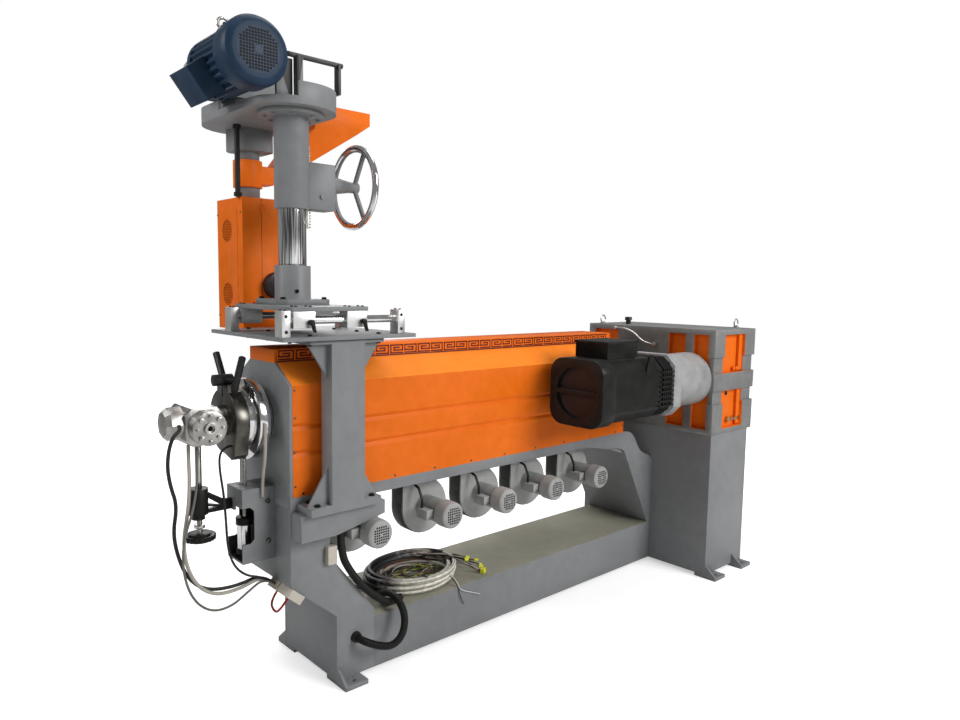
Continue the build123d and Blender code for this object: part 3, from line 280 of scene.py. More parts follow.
COIL_CENTRE = (0.670, 0.200)
COIL_RADII = (0.206, 0.172)
COIL_STEP = 0.022
COIL_LOW = 0.230
COIL_WIDTH = 0.018
COIL_GAP = 0.002
COIL_LAYERS = 2.5
COIL_POINTS = 14
COIL_START = math.radians(168)
COIL_CROSSING = 0.5
COIL_SLACK = (0.004, 0.003)
COIL_SWAY = 0.006
TOWARDS_LEG = (-0.62, 0.78)
SHEATH_STRANDS = 4


def sheath(name):
    """White and beige cable, under a black sleeve where it leaves the leg, taped here and there."""
    shader = Shader(name)
    spot = shader.node("TexCoord", {}, output="Object")
    x = shader.node("SeparateXYZ", {}, spot, output="X")
    y = shader.node("SeparateXYZ", {}, spot, output="Y")
    middle = at(*COIL_CENTRE, 0)
    across = (x - middle.x) * TOWARDS_LEG[0] + (y - middle.y) * TOWARDS_LEG[1]
    cloud = shader.noise(0.05, 2) * 0.05
    sleeve = shader.grade(across + cloud, 0.122, 0.128)
    bare = shader.grade(across + cloud, 0.015, 0.075)
    tape = shader.grade(shader.noise(0.07, 0), 0.36, 0.34)
    patch = shader.noise(0.02, 4)
    around = shader.node("SeparateXYZ", {}, shader.node("TexCoord", {}, output="UV"), output="Y")
    strands = abs(shader.node("Math", {"operation": "SINE"}, around * (SHEATH_STRANDS * math.pi)))
    # Near black in the valleys between the strands: painted shade
    strand_gap_shade = shader.grade(strands, 0.06, 0.40)
    light = shader.blend(shader.grade(patch, 0.3, 0.7), (0.48, 0.44, 0.36), (0.86, 0.83, 0.75))
    front = shader.blend(tape, light, (0.03, 0.03, 0.03))
    back = shader.blend(shader.grade(patch, 0.42, 0.62), (0.030, 0.025, 0.028), (0.21, 0.19, 0.18))
    strung = shader.blend(strand_gap_shade, (0.02, 0.018, 0.018), shader.blend(bare, front, back))
    shader.set(
        Base_Color=shader.blend(sleeve, strung, (0.014, 0.014, 0.014)),
        Roughness=patch * 0.2 + 0.38,
        Normal=shader.bump(strands, 0.0016),
    )
    return shader.material


looks = {
    "grey_paint": painted("grey machine paint", (0.200, 0.207, 0.212), 0.45),
    "cast_paint": painted("grey casting paint", (0.180, 0.182, 0.178), 0.5, 0.003, 0.0003, 0.2),
    "fan_paint": painted("light fan casting", (0.34, 0.345, 0.335), 0.48, 0.003, 0.0002, 0.22),
    "orange_paint": painted("orange powder coat", (0.74, 0.140, 0.003), 0.45, 0.0015, 0.00008, 0.1, 0.12),
    "orange_band": painted("orange pressed band", (0.84, 0.215, 0.014), 0.45, 0.0015, 0.00008, 0.1, 0.12),
    "blue_paint": painted("blue enamel", (0.009, 0.027, 0.058), 0.4, 0.002, 0.0001, 0.35, 0.14),
    "black_paint": painted("satin black paint", (0.0075, 0.0072, 0.0064), 0.4, 0.0015, 0.00008, 0.3, 0.16),
    "steel": metal("machined steel", (0.62, 0.60, 0.56), 0.24),
    "dark_steel": metal("blackened steel", (0.13, 0.125, 0.11), 0.3, wear=0.45),
    "chrome": metal("hard chrome", (0.82, 0.82, 0.82), 0.12, scratch=0.002, depth=0.00001),
    "aluminium": painted("cast aluminium", (0.30, 0.302, 0.30), 0.45, 0.006, 0.0009, 0.3),
    "head_steel": metal(
        "mottled tool steel", (0.52, 0.51, 0.48), 0.36, scratch=0.004, depth=0.0002, wear=0.5
    ),
    # The beams' upward faces: a lighter, warmer grey, painted top light
    "painted_top_light": painted("painted top light on beams", (0.31, 0.30, 0.235), 0.5, wear=0.16),
    "rail_white": metal("white anodised block", (0.72, 0.72, 0.71), 0.42),
    # The column's chrome carries painted reflection streaks
    "column_chrome": reflection_streaked("hard chromed column"),
    "black_plastic": plastic("black ribbed plastic", (0.011, 0.011, 0.012), 0.42),
    "beige_plastic": plastic("beige ceramic connector", (0.45, 0.41, 0.355), 0.5, 0.004, 0.0006),
    "cable_grey": plastic("grey sheathed cable", (0.32, 0.30, 0.26), 0.5),
    "cable_black": plastic("black rubber cable", (0.012, 0.012, 0.012), 0.5),
    "cable_red": plastic("red silicone cable", (0.30, 0.012, 0.014), 0.4),
    # Dark grey paint; inside the cover's vent openings the same colour is painted shade
    "dark_paint": painted("dark grey paint and painted vent shade", (0.048, 0.049, 0.046), 0.45),
    "white_paint": painted("white end block", (0.62, 0.62, 0.60), 0.4),
    "key_paint": painted("dark red screen print", (0.095, 0.004, 0.003), 0.5),
    "recess_dark": plastic("shaded opening", (0.006, 0.006, 0.006), 0.8),
    "black_steel": metal("black oxide screws", (0.035, 0.035, 0.036), 0.42),
    # The motor's mouth: very dark brown, painted shade inside the opening
    "mouth_painted_shade": painted("brown motor mouth with painted shade", (0.016, 0.006, 0.005), 0.6),
    "brass": metal("zinc plated plugs", (0.55, 0.40, 0.22), 0.3),
    "yellow_tag": plastic("yellow wire tags", (0.62, 0.62, 0.03), 0.45),
    "green_wire": plastic("yellow and green wire", (0.28, 0.33, 0.05), 0.45),
    "brown_wire": plastic("brown wire", (0.10, 0.035, 0.02), 0.45),
    "hose_black": corrugated("black corrugated hose", (0.005, 0.005, 0.0045), 0.006),
    "cable_braid": corrugated("braided steel cable", (0.115, 0.11, 0.10), 0.003),
    "sheath": sheath("white bundled sheath"),
}


# Cords: each follows the route of its CAD solid, as one smooth spline


def add_spline(data, points):
    """A smooth NURBS spline through the layout."""
    spline = data.splines.new("NURBS")
    spline.points.add(len(points) - 1)
    for spot, point in zip(spline.points, points):
        spot.co = (*at(*point), 1)
    spline.order_u = 3
    spline.use_endpoint_u = True


def curve_data(name, strands, width, look):
    """Round cables or wires of one look, each along a smooth spline."""
    data = bpy.data.curves.new(name, "CURVE")
    data.dimensions = "3D"
    data.bevel_depth = width / 2
    data.bevel_resolution = 4
    data.resolution_u = 8
    data.use_fill_caps = True
    for points in strands:
        add_spline(data, points)
    data.materials.append(looks[look])
    return data


def riding(name, data, body):
    """An object in the scene that rides on a body."""
    piece = bpy.data.objects.new(name, data)
    bpy.context.scene.collection.objects.link(piece)
    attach(piece, body)
    return piece


def curve_piece(name, points, width, look):
    """A cable, hose or pipe on the frame, as one smooth curve."""
    return riding(name, curve_data(name, [points], width, look), "frame")


def wires_piece(name, strands, width, look):
    """Many thin wires in one mesh on the frame."""
    holder = bpy.data.objects.new(name, curve_data(name, strands, width, look))
    mesh = bpy.data.meshes.new_from_object(holder)
    bpy.data.objects.remove(holder)
    return riding(name, mesh, "frame")


HOSE = 0.028
CABLE = 0.012
THIN = 0.008
routes = {
    "leg_hose": (HOSE, 0.532, "hose_black", "object", "limp", "hanging", (
        (0.190, -0.015, 0.588), (0.190, -0.015, 0.505), (0.236, -0.015, 0.420), (0.300, -0.015, 0.340),
        (0.362, -0.010, 0.288), (0.415, 0.014, 0.250), (0.462, 0.034, 0.235), (0.508, 0.053, 0.233),
    )),
    "return_hose": (HOSE, 0.508, "hose_black", "object", "limp", "hanging", (
        (0.447, 0.114, 0.236), (0.441, 0.074, 0.262), (0.436, 0.024, 0.280), (0.436, -0.030, 0.270),
        (0.438, -0.064, 0.235), (0.432, -0.080, 0.188), (0.404, -0.093, 0.150), (0.360, -0.098, 0.134),
        (0.317, -0.093, 0.144), (0.282, -0.073, 0.158), (0.262, -0.040, 0.165), (0.262, 0.000, 0.165),
    )),
    "head_cable": (CABLE, 0.882, "cable_black", "object", "limp", "hanging", (
        (-0.316, 0.144, 1.010), (-0.318, 0.122, 1.002), (-0.346, 0.114, 0.985), (-0.360, 0.118, 0.940),
        (-0.362, 0.128, 0.880), (-0.352, 0.134, 0.820), (-0.332, 0.134, 0.750), (-0.348, 0.134, 0.660),
        (-0.332, 0.134, 0.570), (-0.300, 0.134, 0.490), (-0.240, 0.134, 0.438), (-0.140, 0.134, 0.426),
        (-0.050, 0.134, 0.444), (-0.009, 0.134, 0.410),
    )),
    "heater_cable": (CABLE, 0.783, "cable_grey", "object", "limp", "hanging", (
        (-0.276, 0.176, 0.937), (-0.276, 0.176, 0.885), (-0.284, 0.150, 0.820), (-0.300, 0.121, 0.740),
        (-0.324, 0.121, 0.610), (-0.296, 0.121, 0.490), (-0.226, 0.121, 0.420), (-0.130, 0.121, 0.418),
        (-0.050, 0.121, 0.444), (-0.009, 0.121, 0.410),
    )),
    "sensor_cable": (THIN, 0.858, "cable_braid", "object", "limp", "hanging", (
        (-0.258, 0.150, 0.937), (-0.258, 0.150, 0.890), (-0.268, 0.124, 0.820), (-0.292, 0.104, 0.730),
        (-0.326, 0.104, 0.640), (-0.330, 0.104, 0.530), (-0.300, 0.102, 0.430), (-0.240, 0.100, 0.374),
        (-0.170, 0.100, 0.374), (-0.110, 0.100, 0.410), (-0.050, 0.100, 0.444), (-0.009, 0.100, 0.410),
    )),
    "ring_hose": (CABLE, 0.280, "cable_grey", "object", "medium", "hanging", (
        (-0.062, 0.0514, 1.005), (-0.060, 0.054, 0.900), (-0.050, 0.105, 0.800), (-0.050, 0.105, 0.735),
    )),
    "clamp_cable": (THIN, 0.616, "cable_black", "object", "limp", "hanging", (
        (-0.146, 0.150, 0.920), (-0.170, 0.150, 0.914), (-0.184, 0.147, 0.888), (-0.186, 0.138, 0.840),
        (-0.182, 0.118, 0.760), (-0.180, 0.110, 0.670), (-0.176, 0.110, 0.580), (-0.156, 0.110, 0.510),
        (-0.112, 0.110, 0.464), (-0.050, 0.110, 0.444), (-0.009, 0.110, 0.410),
    )),
    "red_cable": (THIN, 0.171, "cable_red", "object", "limp", "hanging", (
        (0.0042, 0.112, 0.3772), (-0.025, 0.112, 0.343), (-0.025, 0.072, 0.318), (-0.025, 0.032, 0.343),
        (0.0042, 0.032, 0.3772),
    )),
}
for cord_name, (width, length, look, far_end, stiffness, lay, points) in routes.items():
    strand = curve_piece(cord_name + "_line", points, width, look)
    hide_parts(cord_name)
    at(*points[0])


# Cable coil: an outer helix of turns up, then an inner one down


def coil_route():
    """The coil's points: in from the leg, up in wide turns, inward over half a turn, and down."""
    route = [(0.352, 0.250, 0.236), (0.392, 0.262, 0.232)]
    turns = 2 * COIL_LAYERS + COIL_CROSSING
    for step in range(int(turns * COIL_POINTS)):
        turn = step / COIL_POINTS
        angle = COIL_START + 2 * math.pi * turn
        past = turn - COIL_LAYERS
        inward = min(1, max(0, past / COIL_CROSSING))
        level = min(COIL_LAYERS, COIL_LAYERS - abs(past - COIL_CROSSING / 2) + COIL_CROSSING / 2)
        slack = COIL_SLACK[0] * math.sin(2 * angle + 0.6) + COIL_SLACK[1] * math.sin(3 * angle)
        sway = COIL_SWAY * math.sin(0.83 * angle) * math.sin(1.37 * angle + 1.0)
        reach = [radius - COIL_STEP * inward + slack + sway for radius in COIL_RADII]
        route.append((
            COIL_CENTRE[0] + reach[0] * math.cos(angle),
            COIL_CENTRE[1] + reach[1] * math.sin(angle),
            COIL_LOW + level * (COIL_WIDTH + COIL_GAP),
        ))
    return route


coil_points = coil_route()
coil_line = curve_piece("cable_coil_line", coil_points, COIL_WIDTH, "sheath")
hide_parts("cable_coil")


# Mesh pieces: boxes, bars and discs gathered into one mesh


class Shape:
    """Boxes, drums, bars and plates of one piece, in layout metres."""

    def __init__(self):
        self.mesh = bmesh.new()

    def box(self, low, high, turn=None):
        """A box between two corners, turned about its own centre if asked."""
        low, high = Vector(low), Vector(high)
        size = Matrix.Diagonal((*(high - low), 1))
        place = Matrix.Translation(at(*((low + high) / 2)))
        bmesh.ops.create_cube(self.mesh, size=1, matrix=place @ (turn or Matrix()) @ size)
        return self

    def drum(self, start, end, radius, end_radius=None, sides=24):
        """A round or flat sided bar between two points."""
        start, end = at(*start), at(*end)
        along = end - start
        bmesh.ops.create_cone(
            self.mesh, cap_ends=True, segments=sides, radius1=radius,
            radius2=radius if end_radius is None else end_radius, depth=along.length,
            matrix=Matrix.Translation((start + end) / 2) @ along.to_track_quat("Z", "Y").to_matrix().to_4x4(),
        )
        return self

    def bolt(self, place, axis, radius=0.008, height=0.006):
        """A hexagon head on its washer."""
        place, axis = Vector(place), Vector(axis)
        self.drum(place, place + axis * 0.0015, radius * 1.3, sides=20)
        return self.drum(place, place + axis * height, radius, radius * 0.96, sides=6)

    def screw(self, place, axis, radius=0.005, height=0.003):
        """A domed screw head."""
        place, axis = Vector(place), Vector(axis)
        self.drum(place, place + axis * height * 0.6, radius, sides=16)
        return self.drum(place + axis * height * 0.6, place + axis * height, radius, radius * 0.6, sides=16)

    def ring(self, centre, axis, profile, sides=48):
        """A turned form: profile is (along the axis, radius) pairs, closed."""
        centre, axis = at(*centre), Vector(axis).normalized()
        side = axis.orthogonal().normalized()
        other = axis.cross(side)
        loops = []
        for step in range(sides):
            turn = 2 * math.pi * step / sides
            out = side * math.cos(turn) + other * math.sin(turn)
            spots = [centre + axis * along + out * reach for along, reach in profile]
            loops.append([self.mesh.verts.new(spot) for spot in spots])
        for one, two in zip(loops, loops[1:] + loops[:1]):
            for k in range(len(profile)):
                after = (k + 1) % len(profile)
                self.mesh.faces.new((one[k], two[k], two[after], one[after]))
        return self

    def plate(self, outline, normal, thick):
        """A flat plate: an outline of points, thickened along its normal."""
        spots = [at(*point) for point in outline]
        back = [self.mesh.verts.new(spot) for spot in spots]
        front = [self.mesh.verts.new(spot + Vector(normal) * thick) for spot in spots]
        self.mesh.faces.new(back)
        self.mesh.faces.new(front)
        for k in range(len(spots)):
            after = (k + 1) % len(spots)
            self.mesh.faces.new((back[k], back[after], front[after], front[k]))
        return self

    def done(self, name, look, body="frame", bevel=0.0006):
        """Make the piece, soften its edges and let it ride."""
        bmesh.ops.recalc_face_normals(self.mesh, faces=self.mesh.faces)
        data = bpy.data.meshes.new(name)
        self.mesh.to_mesh(data)
        self.mesh.free()
        data.materials.append(looks[look])
        piece = riding(name, data, body)
        soften(piece, bevel)
        return piece


SMOOTH_ANGLE = math.radians(32)


def smooth(piece):
    """Smooth shading on every face."""
    for face in piece.data.polygons:
        face.use_smooth = True


def add_bevel(piece, width):
    """A narrow bevel on the sharp edges."""
    bevel = piece.modifiers.new("edges", "BEVEL")
    bevel.width = width
    bevel.segments = 2
    bevel.limit_method = "ANGLE"
    bevel.angle_limit = SMOOTH_ANGLE
    bevel.harden_normals = True


def soften(piece, width):
    """Smooth round faces, and a bevel where the width isn't 0."""
    smooth(piece)
    if width:
        add_bevel(piece, width)
    piece.data.set_sharp_from_angle(angle=SMOOTH_ANGLE)


# CAD nodes: finish by slot, colours of single forms by their place, welded and softened edges

FAR = 9
TOUCH = 1e-5
SAME_WAY = 0.9
WELD = 0.00002
EDGE = 0.0012


def look_index(node, look):
    """The node's material slot for this look, added if it is new."""
    material = looks[look]
    if material.name not in node.data.materials:
        node.data.materials.append(material)
    return node.data.materials.find(material.name)


def paint(name, look, low=(-FAR, -FAR, -FAR), high=(FAR, FAR, FAR), facing=None):
    """Faces of a node whose middle is within a box, in layout metres, take a look."""
    node = nodes[name]
    index = look_index(node, look)
    low, high = at(*low), at(*high)
    for face in node.data.polygons:
        middle = face.center
        if all(a - TOUCH <= b <= c + TOUCH for a, b, c in zip(low, middle, high)):
            if facing is None or face.normal.dot(Vector(facing)) > SAME_WAY:
                face.material_index = index


def paint_spokes():
    """The handwheel's hub and spokes are painted, inside its bright rim."""
    wheel = nodes["handwheel"]
    index = look_index(wheel, "grey_paint")
    for face in wheel.data.polygons:
        middle = face.center - at(0, *WHEEL_AXIS)
        if math.hypot(middle.y, middle.z) < SPOKE_REACH:
            face.material_index = index


for row in frame["record"]["subparts"]:
    node = nodes[row["node"]]
    node.data.materials.clear()
    node.data.materials.append(looks[row["material_slot"]])
for node in nodes.values():
    weld = node.modifiers.new("weld", "WELD")
    weld.merge_threshold = WELD
    add_bevel(node, EDGE)
    smooth(node)

FAN_XS = (0.300, 0.643, 0.948, 1.250, 1.568)
FAN_Z = 0.578
WHEEL_AXIS = (0.163, 1.838)
SPOKE_REACH = 0.134
BAY_SIDES = ((-0.309, -0.225), (-0.177, -0.077), (0.250, 0.410))
paint("front_end_plate", "orange_paint", low=(-FAR, -FAR, 1.2021))
paint("barrel_cover", "orange_band", low=(-FAR, -0.001, 1.1311), high=(FAR, 0.1059, 1.2019))
paint("front_leg", "beige_plastic", low=(-0.03, -0.02, 0.33), high=(0.06, 0.15, 0.425))
paint("shelf_box", "beige_plastic", low=(0.13, -0.03, 0.47), high=(0.175, 0.001, 0.55))
paint("shelf_box", "black_plastic", low=(0.165, -0.04, 0.58), high=(0.215, 0.01, 0.601))
paint("gearbox_case", "orange_paint", low=(2.2399, -0.345, 0.70), high=(2.4401, -0.30, 1.28))
for low_y, high_y in BAY_SIDES:
    paint("gearbox_case", "orange_paint", low=(2.1425, low_y, 0.70), high=(2.18, high_y, 1.28))
paint("crosshead", "head_steel")
# Upward faces of the beams take the lighter, warmer grey: painted top light
paint("beam_deck", "painted_top_light", facing=(0, 0, 1))
paint("lower_beam", "painted_top_light", facing=(0, 0, 1))
paint("head_clamp", "black_plastic", low=(-0.146, 0.05, 1.135), high=(-0.09, 0.33, 1.3))
paint("head_clamp", "black_plastic", low=(-0.2, 0.17, 1.11), high=(-0.147, 0.23, 1.2))
paint("air_cylinder", "chrome", low=(-0.2, 0, 0.54), high=(0, 1, 0.622))
paint("air_cylinder", "steel", low=(-0.2, 0, 0.651))
paint("jack_handwheel", "steel", low=(-0.3, 0, 0.623))
paint("mount_box", "recess_dark", low=(-0.113, 0.112, 0.5), high=(-0.009, 0.234, 0.765))
paint("mount_box", "dark_steel", low=(-0.06, 0, 0.5), high=(0, 0.1105, 0.8))
for number, fan_x in enumerate(FAN_XS, 1):
    fan = f"fan_{number}"
    paint(fan, "fan_paint")
    paint(
        fan, "cast_paint",
        low=(fan_x - 0.058, -0.2, FAN_Z - 0.06), high=(fan_x + 0.058, -0.012, FAN_Z + 0.06),
    )
    paint(fan, "dark_paint", low=(-FAR, 0.079, -FAR), high=(FAR, 0.143, FAR))
    paint(
        fan, "black_plastic",
        low=(fan_x - 0.072, -0.01, FAN_Z + 0.0165), high=(fan_x - 0.052, 0.0719, FAN_Z + 0.2),
    )
# Inside the cover's vent openings, behind the bars: dark grey, painted shade
paint("vertical_cover", "dark_paint", low=(0.0555, 0.55, 1.3), high=(0.0625, 0.66, 1.8))
paint("vertical_cover", "black_plastic", low=(0.1, 0.40, 1.4), high=(0.25, 0.4599, 1.54))
paint("vertical_throat", "grey_paint", high=(FAR, FAR, 1.8509))
# The motor's mouth and the slot in it are painted very dark brown: painted shade inside the opening
paint("main_motor", "mouth_painted_shade", low=(1.2765, -0.34, 0.88), high=(1.278, -0.05, 1.17))
paint("main_motor", "mouth_painted_shade", low=(1.2532, -0.32, 1.01), high=(1.276, -0.08, 1.04))
paint("rail_blocks", "rail_white")
paint("bearing_blocks", "rail_white")
paint("bed", "dark_paint", low=(0.05, 0.05, 2.147), high=(0.3, 0.15, 2.3))
paint("column", "column_chrome")
paint_spokes()


# Thin wire ends of the coil: tagged bundles beside it, loops in its hole, two ends over the edge

BEAM_TOP = 0.219
WIRE = 0.0038
WIRE_STEPS = 9
WIRE_JITTER = 0.006
WIRE_LOW = BEAM_TOP + 0.004
TAG_CHANCE = 0.5
TAG_RADIUS = 0.0042
INNER_REACH = (0.174, 0.140)
ARCS = 14
BUNDLES = (
    (
        (0.770, 0.290, 0.276), (0.836, 0.226, 0.284), (0.902, 0.176, 0.274), (0.950, 0.154, 0.254),
        (0.984, 0.144, 0.244),
    ),
    (
        (0.780, 0.270, 0.276), (0.850, 0.196, 0.282), (0.900, 0.136, 0.268), (0.940, 0.102, 0.250),
        (0.964, 0.086, 0.238),
    ),
    (
        (0.790, 0.250, 0.276), (0.852, 0.160, 0.280), (0.893, 0.096, 0.262), (0.922, 0.066, 0.242),
        (0.944, 0.048, 0.230),
    ),
)
BLACK_END = (
    (0.752, 0.046, 0.262), (0.762, 0.010, 0.240), (0.766, -0.006, 0.205), (0.778, -0.008, 0.165),
    (0.792, -0.008, 0.142),
)
WHITE_END = (
    (0.764, 0.044, 0.262), (0.768, 0.008, 0.240), (0.770, -0.006, 0.212), (0.800, -0.007, 0.194),
    (0.845, -0.007, 0.176), (0.886, -0.007, 0.158),
)
WIRE_LOOKS = ("cable_black", "brown_wire", "cable_grey", "green_wire")
ARC_LOOKS = ("cable_black", "cable_black", "cable_black", "brown_wire")


def tagged_bundles(wires, tags):
    """Wires that leave the coil side by side, about half of them with a tag on the end."""
    for route in BUNDLES:
        for look in WIRE_LOOKS[:3] * 3:
            points = []
            for point in route:
                points.append(tuple(value + dice.uniform(-WIRE_JITTER, WIRE_JITTER) for value in point))
            wires[look].append(points)
            if dice.random() < TAG_CHANCE:
                end = Vector(points[-1])
                along = Vector((0.014, dice.uniform(-0.01, 0.004), -0.002))
                tags.drum(end, end + along, TAG_RADIUS, sides=12)
    for x, y, z in ((0.944, 0.158, 0.258), (0.908, 0.124, 0.268)):
        tags.drum((x, y, z), (x + 0.016, y - 0.006, z - 0.003), 0.0085, sides=14)
    tags.box((0.936, 0.036, 0.221), (0.964, 0.054, 0.240), Matrix.Rotation(0.5, 4, "Z"))


def tangled_loops(wires):
    """Loose loops that wander about the coil's hole."""
    for look in WIRE_LOOKS * 3 + ("green_wire", "brown_wire"):
        turn = dice.uniform(0, 2 * math.pi)
        loop = []
        for step in range(WIRE_STEPS):
            angle = turn + step * 0.66
            reach = dice.uniform(0.035, 0.115)
            loop.append((
                COIL_CENTRE[0] + 0.02 + reach * 1.25 * math.cos(angle),
                COIL_CENTRE[1] + reach * 0.8 * math.sin(angle),
                WIRE_LOW + dice.uniform(0, 0.038),
            ))
        wires[look].append(loop)


def inner_arcs(wires):
    """Wires that lie along the back of the hole, low and high by turns."""
    for count in range(ARCS):
        share = dice.uniform(0.66, 0.95)
        arc = []
        for step in range(WIRE_STEPS):
            angle = math.radians(dice.uniform(2, 12) + 26 * step)
            arc.append((
                COIL_CENTRE[0] + share * INNER_REACH[0] * math.cos(angle),
                COIL_CENTRE[1] + share * INNER_REACH[1] * math.sin(angle),
                WIRE_LOW + (0.040 * share if count % 2 else 0.008) + dice.uniform(0, 0.006),
            ))
        wires[ARC_LOOKS[count % 4]].append(arc)


coil_wires = {look: [] for look in WIRE_LOOKS}
coil_tags = Shape()
tagged_bundles(coil_wires, coil_tags)
tangled_loops(coil_wires)
inner_arcs(coil_wires)
coil_wires["cable_black"].append(BLACK_END)
coil_wires["white_paint"] = [WHITE_END]
coil_pieces = [coil_tags.done("coil_wire_tags", "yellow_tag")]
for look, strands in coil_wires.items():
    coil_pieces.append(wires_piece("coil_wires_" + look, strands, WIRE, look))
at(*coil_points[0])


# Greek key along the cap of the barrel cover, with the line under it

KEY_START = 0.018
KEY_END = 1.870
KEY_PITCH = 0.068
KEY_WIDTH = 0.056
KEY_LOW = 1.2115
KEY_HIGH = 1.2420
KEY_STROKE = 0.0052
KEY_GRID = (7, 5)
KEY_TURNS = ((7, 0), (0, 0), (0, 5), (7, 5), (7, 1.7), (2, 1.7), (2, 3.4), (5, 3.4))
KEY_LINE_Z = 1.2046
KEY_LINE_OVER = 0.004
CAP_Y = 0.106
PAINT_PROUD = 0.0004


def greek_key():
    """Square spirals, every other one mirrored, drawn as strokes a paint's thickness proud."""
    shape = Shape()

    def stroke(one, two):
        """A straight stroke between two places, as (x, z)."""
        low = [min(a, b) - KEY_STROKE / 2 for a, b in zip(one, two)]
        high = [max(a, b) + KEY_STROKE / 2 for a, b in zip(one, two)]
        shape.box((low[0], CAP_Y - PAINT_PROUD, low[1]), (high[0], CAP_Y, high[1]))

    for copy in range(int((KEY_END - KEY_START) / KEY_PITCH)):
        left = KEY_START + copy * KEY_PITCH
        corners = []
        for across, up in KEY_TURNS:
            share = across / KEY_GRID[0] if copy % 2 else 1 - across / KEY_GRID[0]
            z = KEY_LOW + (KEY_HIGH - KEY_LOW) * up / KEY_GRID[1]
            corners.append((left + share * KEY_WIDTH, z))
        for one, two in zip(corners, corners[1:]):
            stroke(one, two)
    stroke((KEY_START - KEY_LINE_OVER, KEY_LINE_Z), (KEY_END + KEY_LINE_OVER, KEY_LINE_Z))
    return shape.done("greek_key", "key_paint", bevel=0)


greek_key()


# Fans: grilles, motor covers and their small side boxes

FAN_FRONT = -0.104
HOLE_DEPTH = 0.0006


def grille(shape, middle, y, radius, hub, pitch, hole):
    """Square holes of a round grille that faces the front, around its plain hub."""
    count = int(radius / pitch)
    for row in range(-count, count + 1):
        for column in range(-count, count + 1):
            x, z = (column * pitch, row * pitch)
            if hub < math.hypot(x, z) < radius:
                shape.box(
                    (middle[0] + x - hole / 2, y - HOLE_DEPTH, middle[1] + z - hole / 2),
                    (middle[0] + x + hole / 2, y, middle[1] + z + hole / 2),
                )


def circle(middle, reach, count, start=0):
    """Places round a circle, as (across, up) pairs, from a first angle in degrees."""
    turns = [math.radians(start + 360 * step / count) for step in range(count)]
    return [(middle[0] + reach * math.cos(turn), middle[1] + reach * math.sin(turn)) for turn in turns]


fan_holes = Shape()
fan_covers = Shape()
for fan_x in FAN_XS:
    grille(
        fan_holes, (fan_x, FAN_Z), FAN_FRONT - 0.010, radius=0.036, hub=0.009, pitch=0.0095, hole=0.0062
    )
    fan_covers.ring((fan_x, FAN_FRONT, FAN_Z), (0, -1, 0), (
        (-0.052, 0.0535), (-0.012, 0.0535), (0.002, 0.0515), (0.008, 0.045), (0.010, 0.038), (0.010, 0.0001),
        (-0.052, 0.0001),
    ), sides=40)
    fan_covers.box((fan_x - 0.083, -0.045, FAN_Z - 0.006), (fan_x - 0.052, -0.012, FAN_Z + 0.019))
fan_holes.done("fan_grille_holes", "recess_dark", bevel=0)
fan_covers.done("fan_motor_covers", "fan_paint", bevel=0.001)


# Blue motor: square grille holes round a plain disc, and the screws of its fan cover

BLUE_AXIS = (-0.082, 2.214)
BLUE_FRONT = 0.018
BLUE_SCREWS_Y = 0.095
BLUE_SCREWS_REACH = 0.112
blue_holes = Shape()
grille(blue_holes, BLUE_AXIS, BLUE_FRONT, radius=0.070, hub=0.018, pitch=0.0100, hole=0.0072)
blue_holes.done("blue_motor_grille_holes", "recess_dark", "lift", bevel=0)
blue_trim = Shape()
blue_trim.ring((BLUE_AXIS[0], BLUE_FRONT + 0.0005, BLUE_AXIS[1]), (0, -1, 0), (
    (0, 0.0001), (0, 0.0155), (0.0015, 0.014), (0.0015, 0.0001),
), sides=32)
for across, up in circle((0, 0), 1, 4, 45):
    spot = (BLUE_AXIS[0] + BLUE_SCREWS_REACH * across, BLUE_SCREWS_Y, BLUE_AXIS[1] + BLUE_SCREWS_REACH * up)
    blue_trim.screw(spot, (across, 0, up))
blue_trim.done("blue_motor_trim", "blue_paint", "lift")


# Gearbox top: eye bolts and breather, and the blue motor's own eye bolt on its boss

GEARBOX_TOP = 1.277
BREATHER_PLACE = (2.250, 0.265)
BLUE_EYE_Y = 0.285
EYE_FOOT = 0.006


def eye_bolt(shape, place, radius, wire=0.004):
    """A lifting eye on its foot, which stands on a surface."""
    x, y, z = place
    shape.drum(place, (x, y, z + EYE_FOOT), radius * 0.8)
    spots = [(across, y, up) for across, up in circle((x, z + EYE_FOOT + radius), radius, 24)]
    for one, two in zip(spots, spots[1:] + spots[:1]):
        shape.drum(one, two, wire, sides=8)


eyes = Shape()
eye_bolt(eyes, (2.200, 0.406, GEARBOX_TOP), 0.020)
eye_bolt(eyes, (2.500, -0.256, GEARBOX_TOP), 0.020)
breather = Shape()
breather.drum((*BREATHER_PLACE, GEARBOX_TOP), (*BREATHER_PLACE, 1.300), 0.014)
breather.drum((*BREATHER_PLACE, 1.300), (*BREATHER_PLACE, 1.318), 0.021, 0.019, sides=8)
breather.done("gearbox_breather", "black_plastic")
eyes.done("gearbox_eye_bolts", "steel")
blue_eye = Shape()
boss_low = (BLUE_AXIS[0], BLUE_EYE_Y, BLUE_AXIS[1] + 0.095)
boss_high = (BLUE_AXIS[0], BLUE_EYE_Y, BLUE_AXIS[1] + 0.117)
blue_eye.drum(boss_low, boss_high, 0.017)
eye_bolt(blue_eye, boss_high, 0.019, 0.006)
blue_eye.done("blue_motor_eye_bolt", "steel", "lift")


# Vertical cover: bars behind the vent openings, screws, door seam and hinges, side blower

COVER_FRONT = 0.055
COVER_SIDE = 0.460
VENT_Y = 0.600
VENT_ZS = (1.680, 1.432)
VENT_RADIUS = 0.043
BAR_PITCH = 0.0095
BAR_HALF = 0.0016
BAR_XS = (0.0555, 0.0590)
SEAM_XS = (0.1320, 0.1332)
BLOWER_AT = (0.187, 1.468)

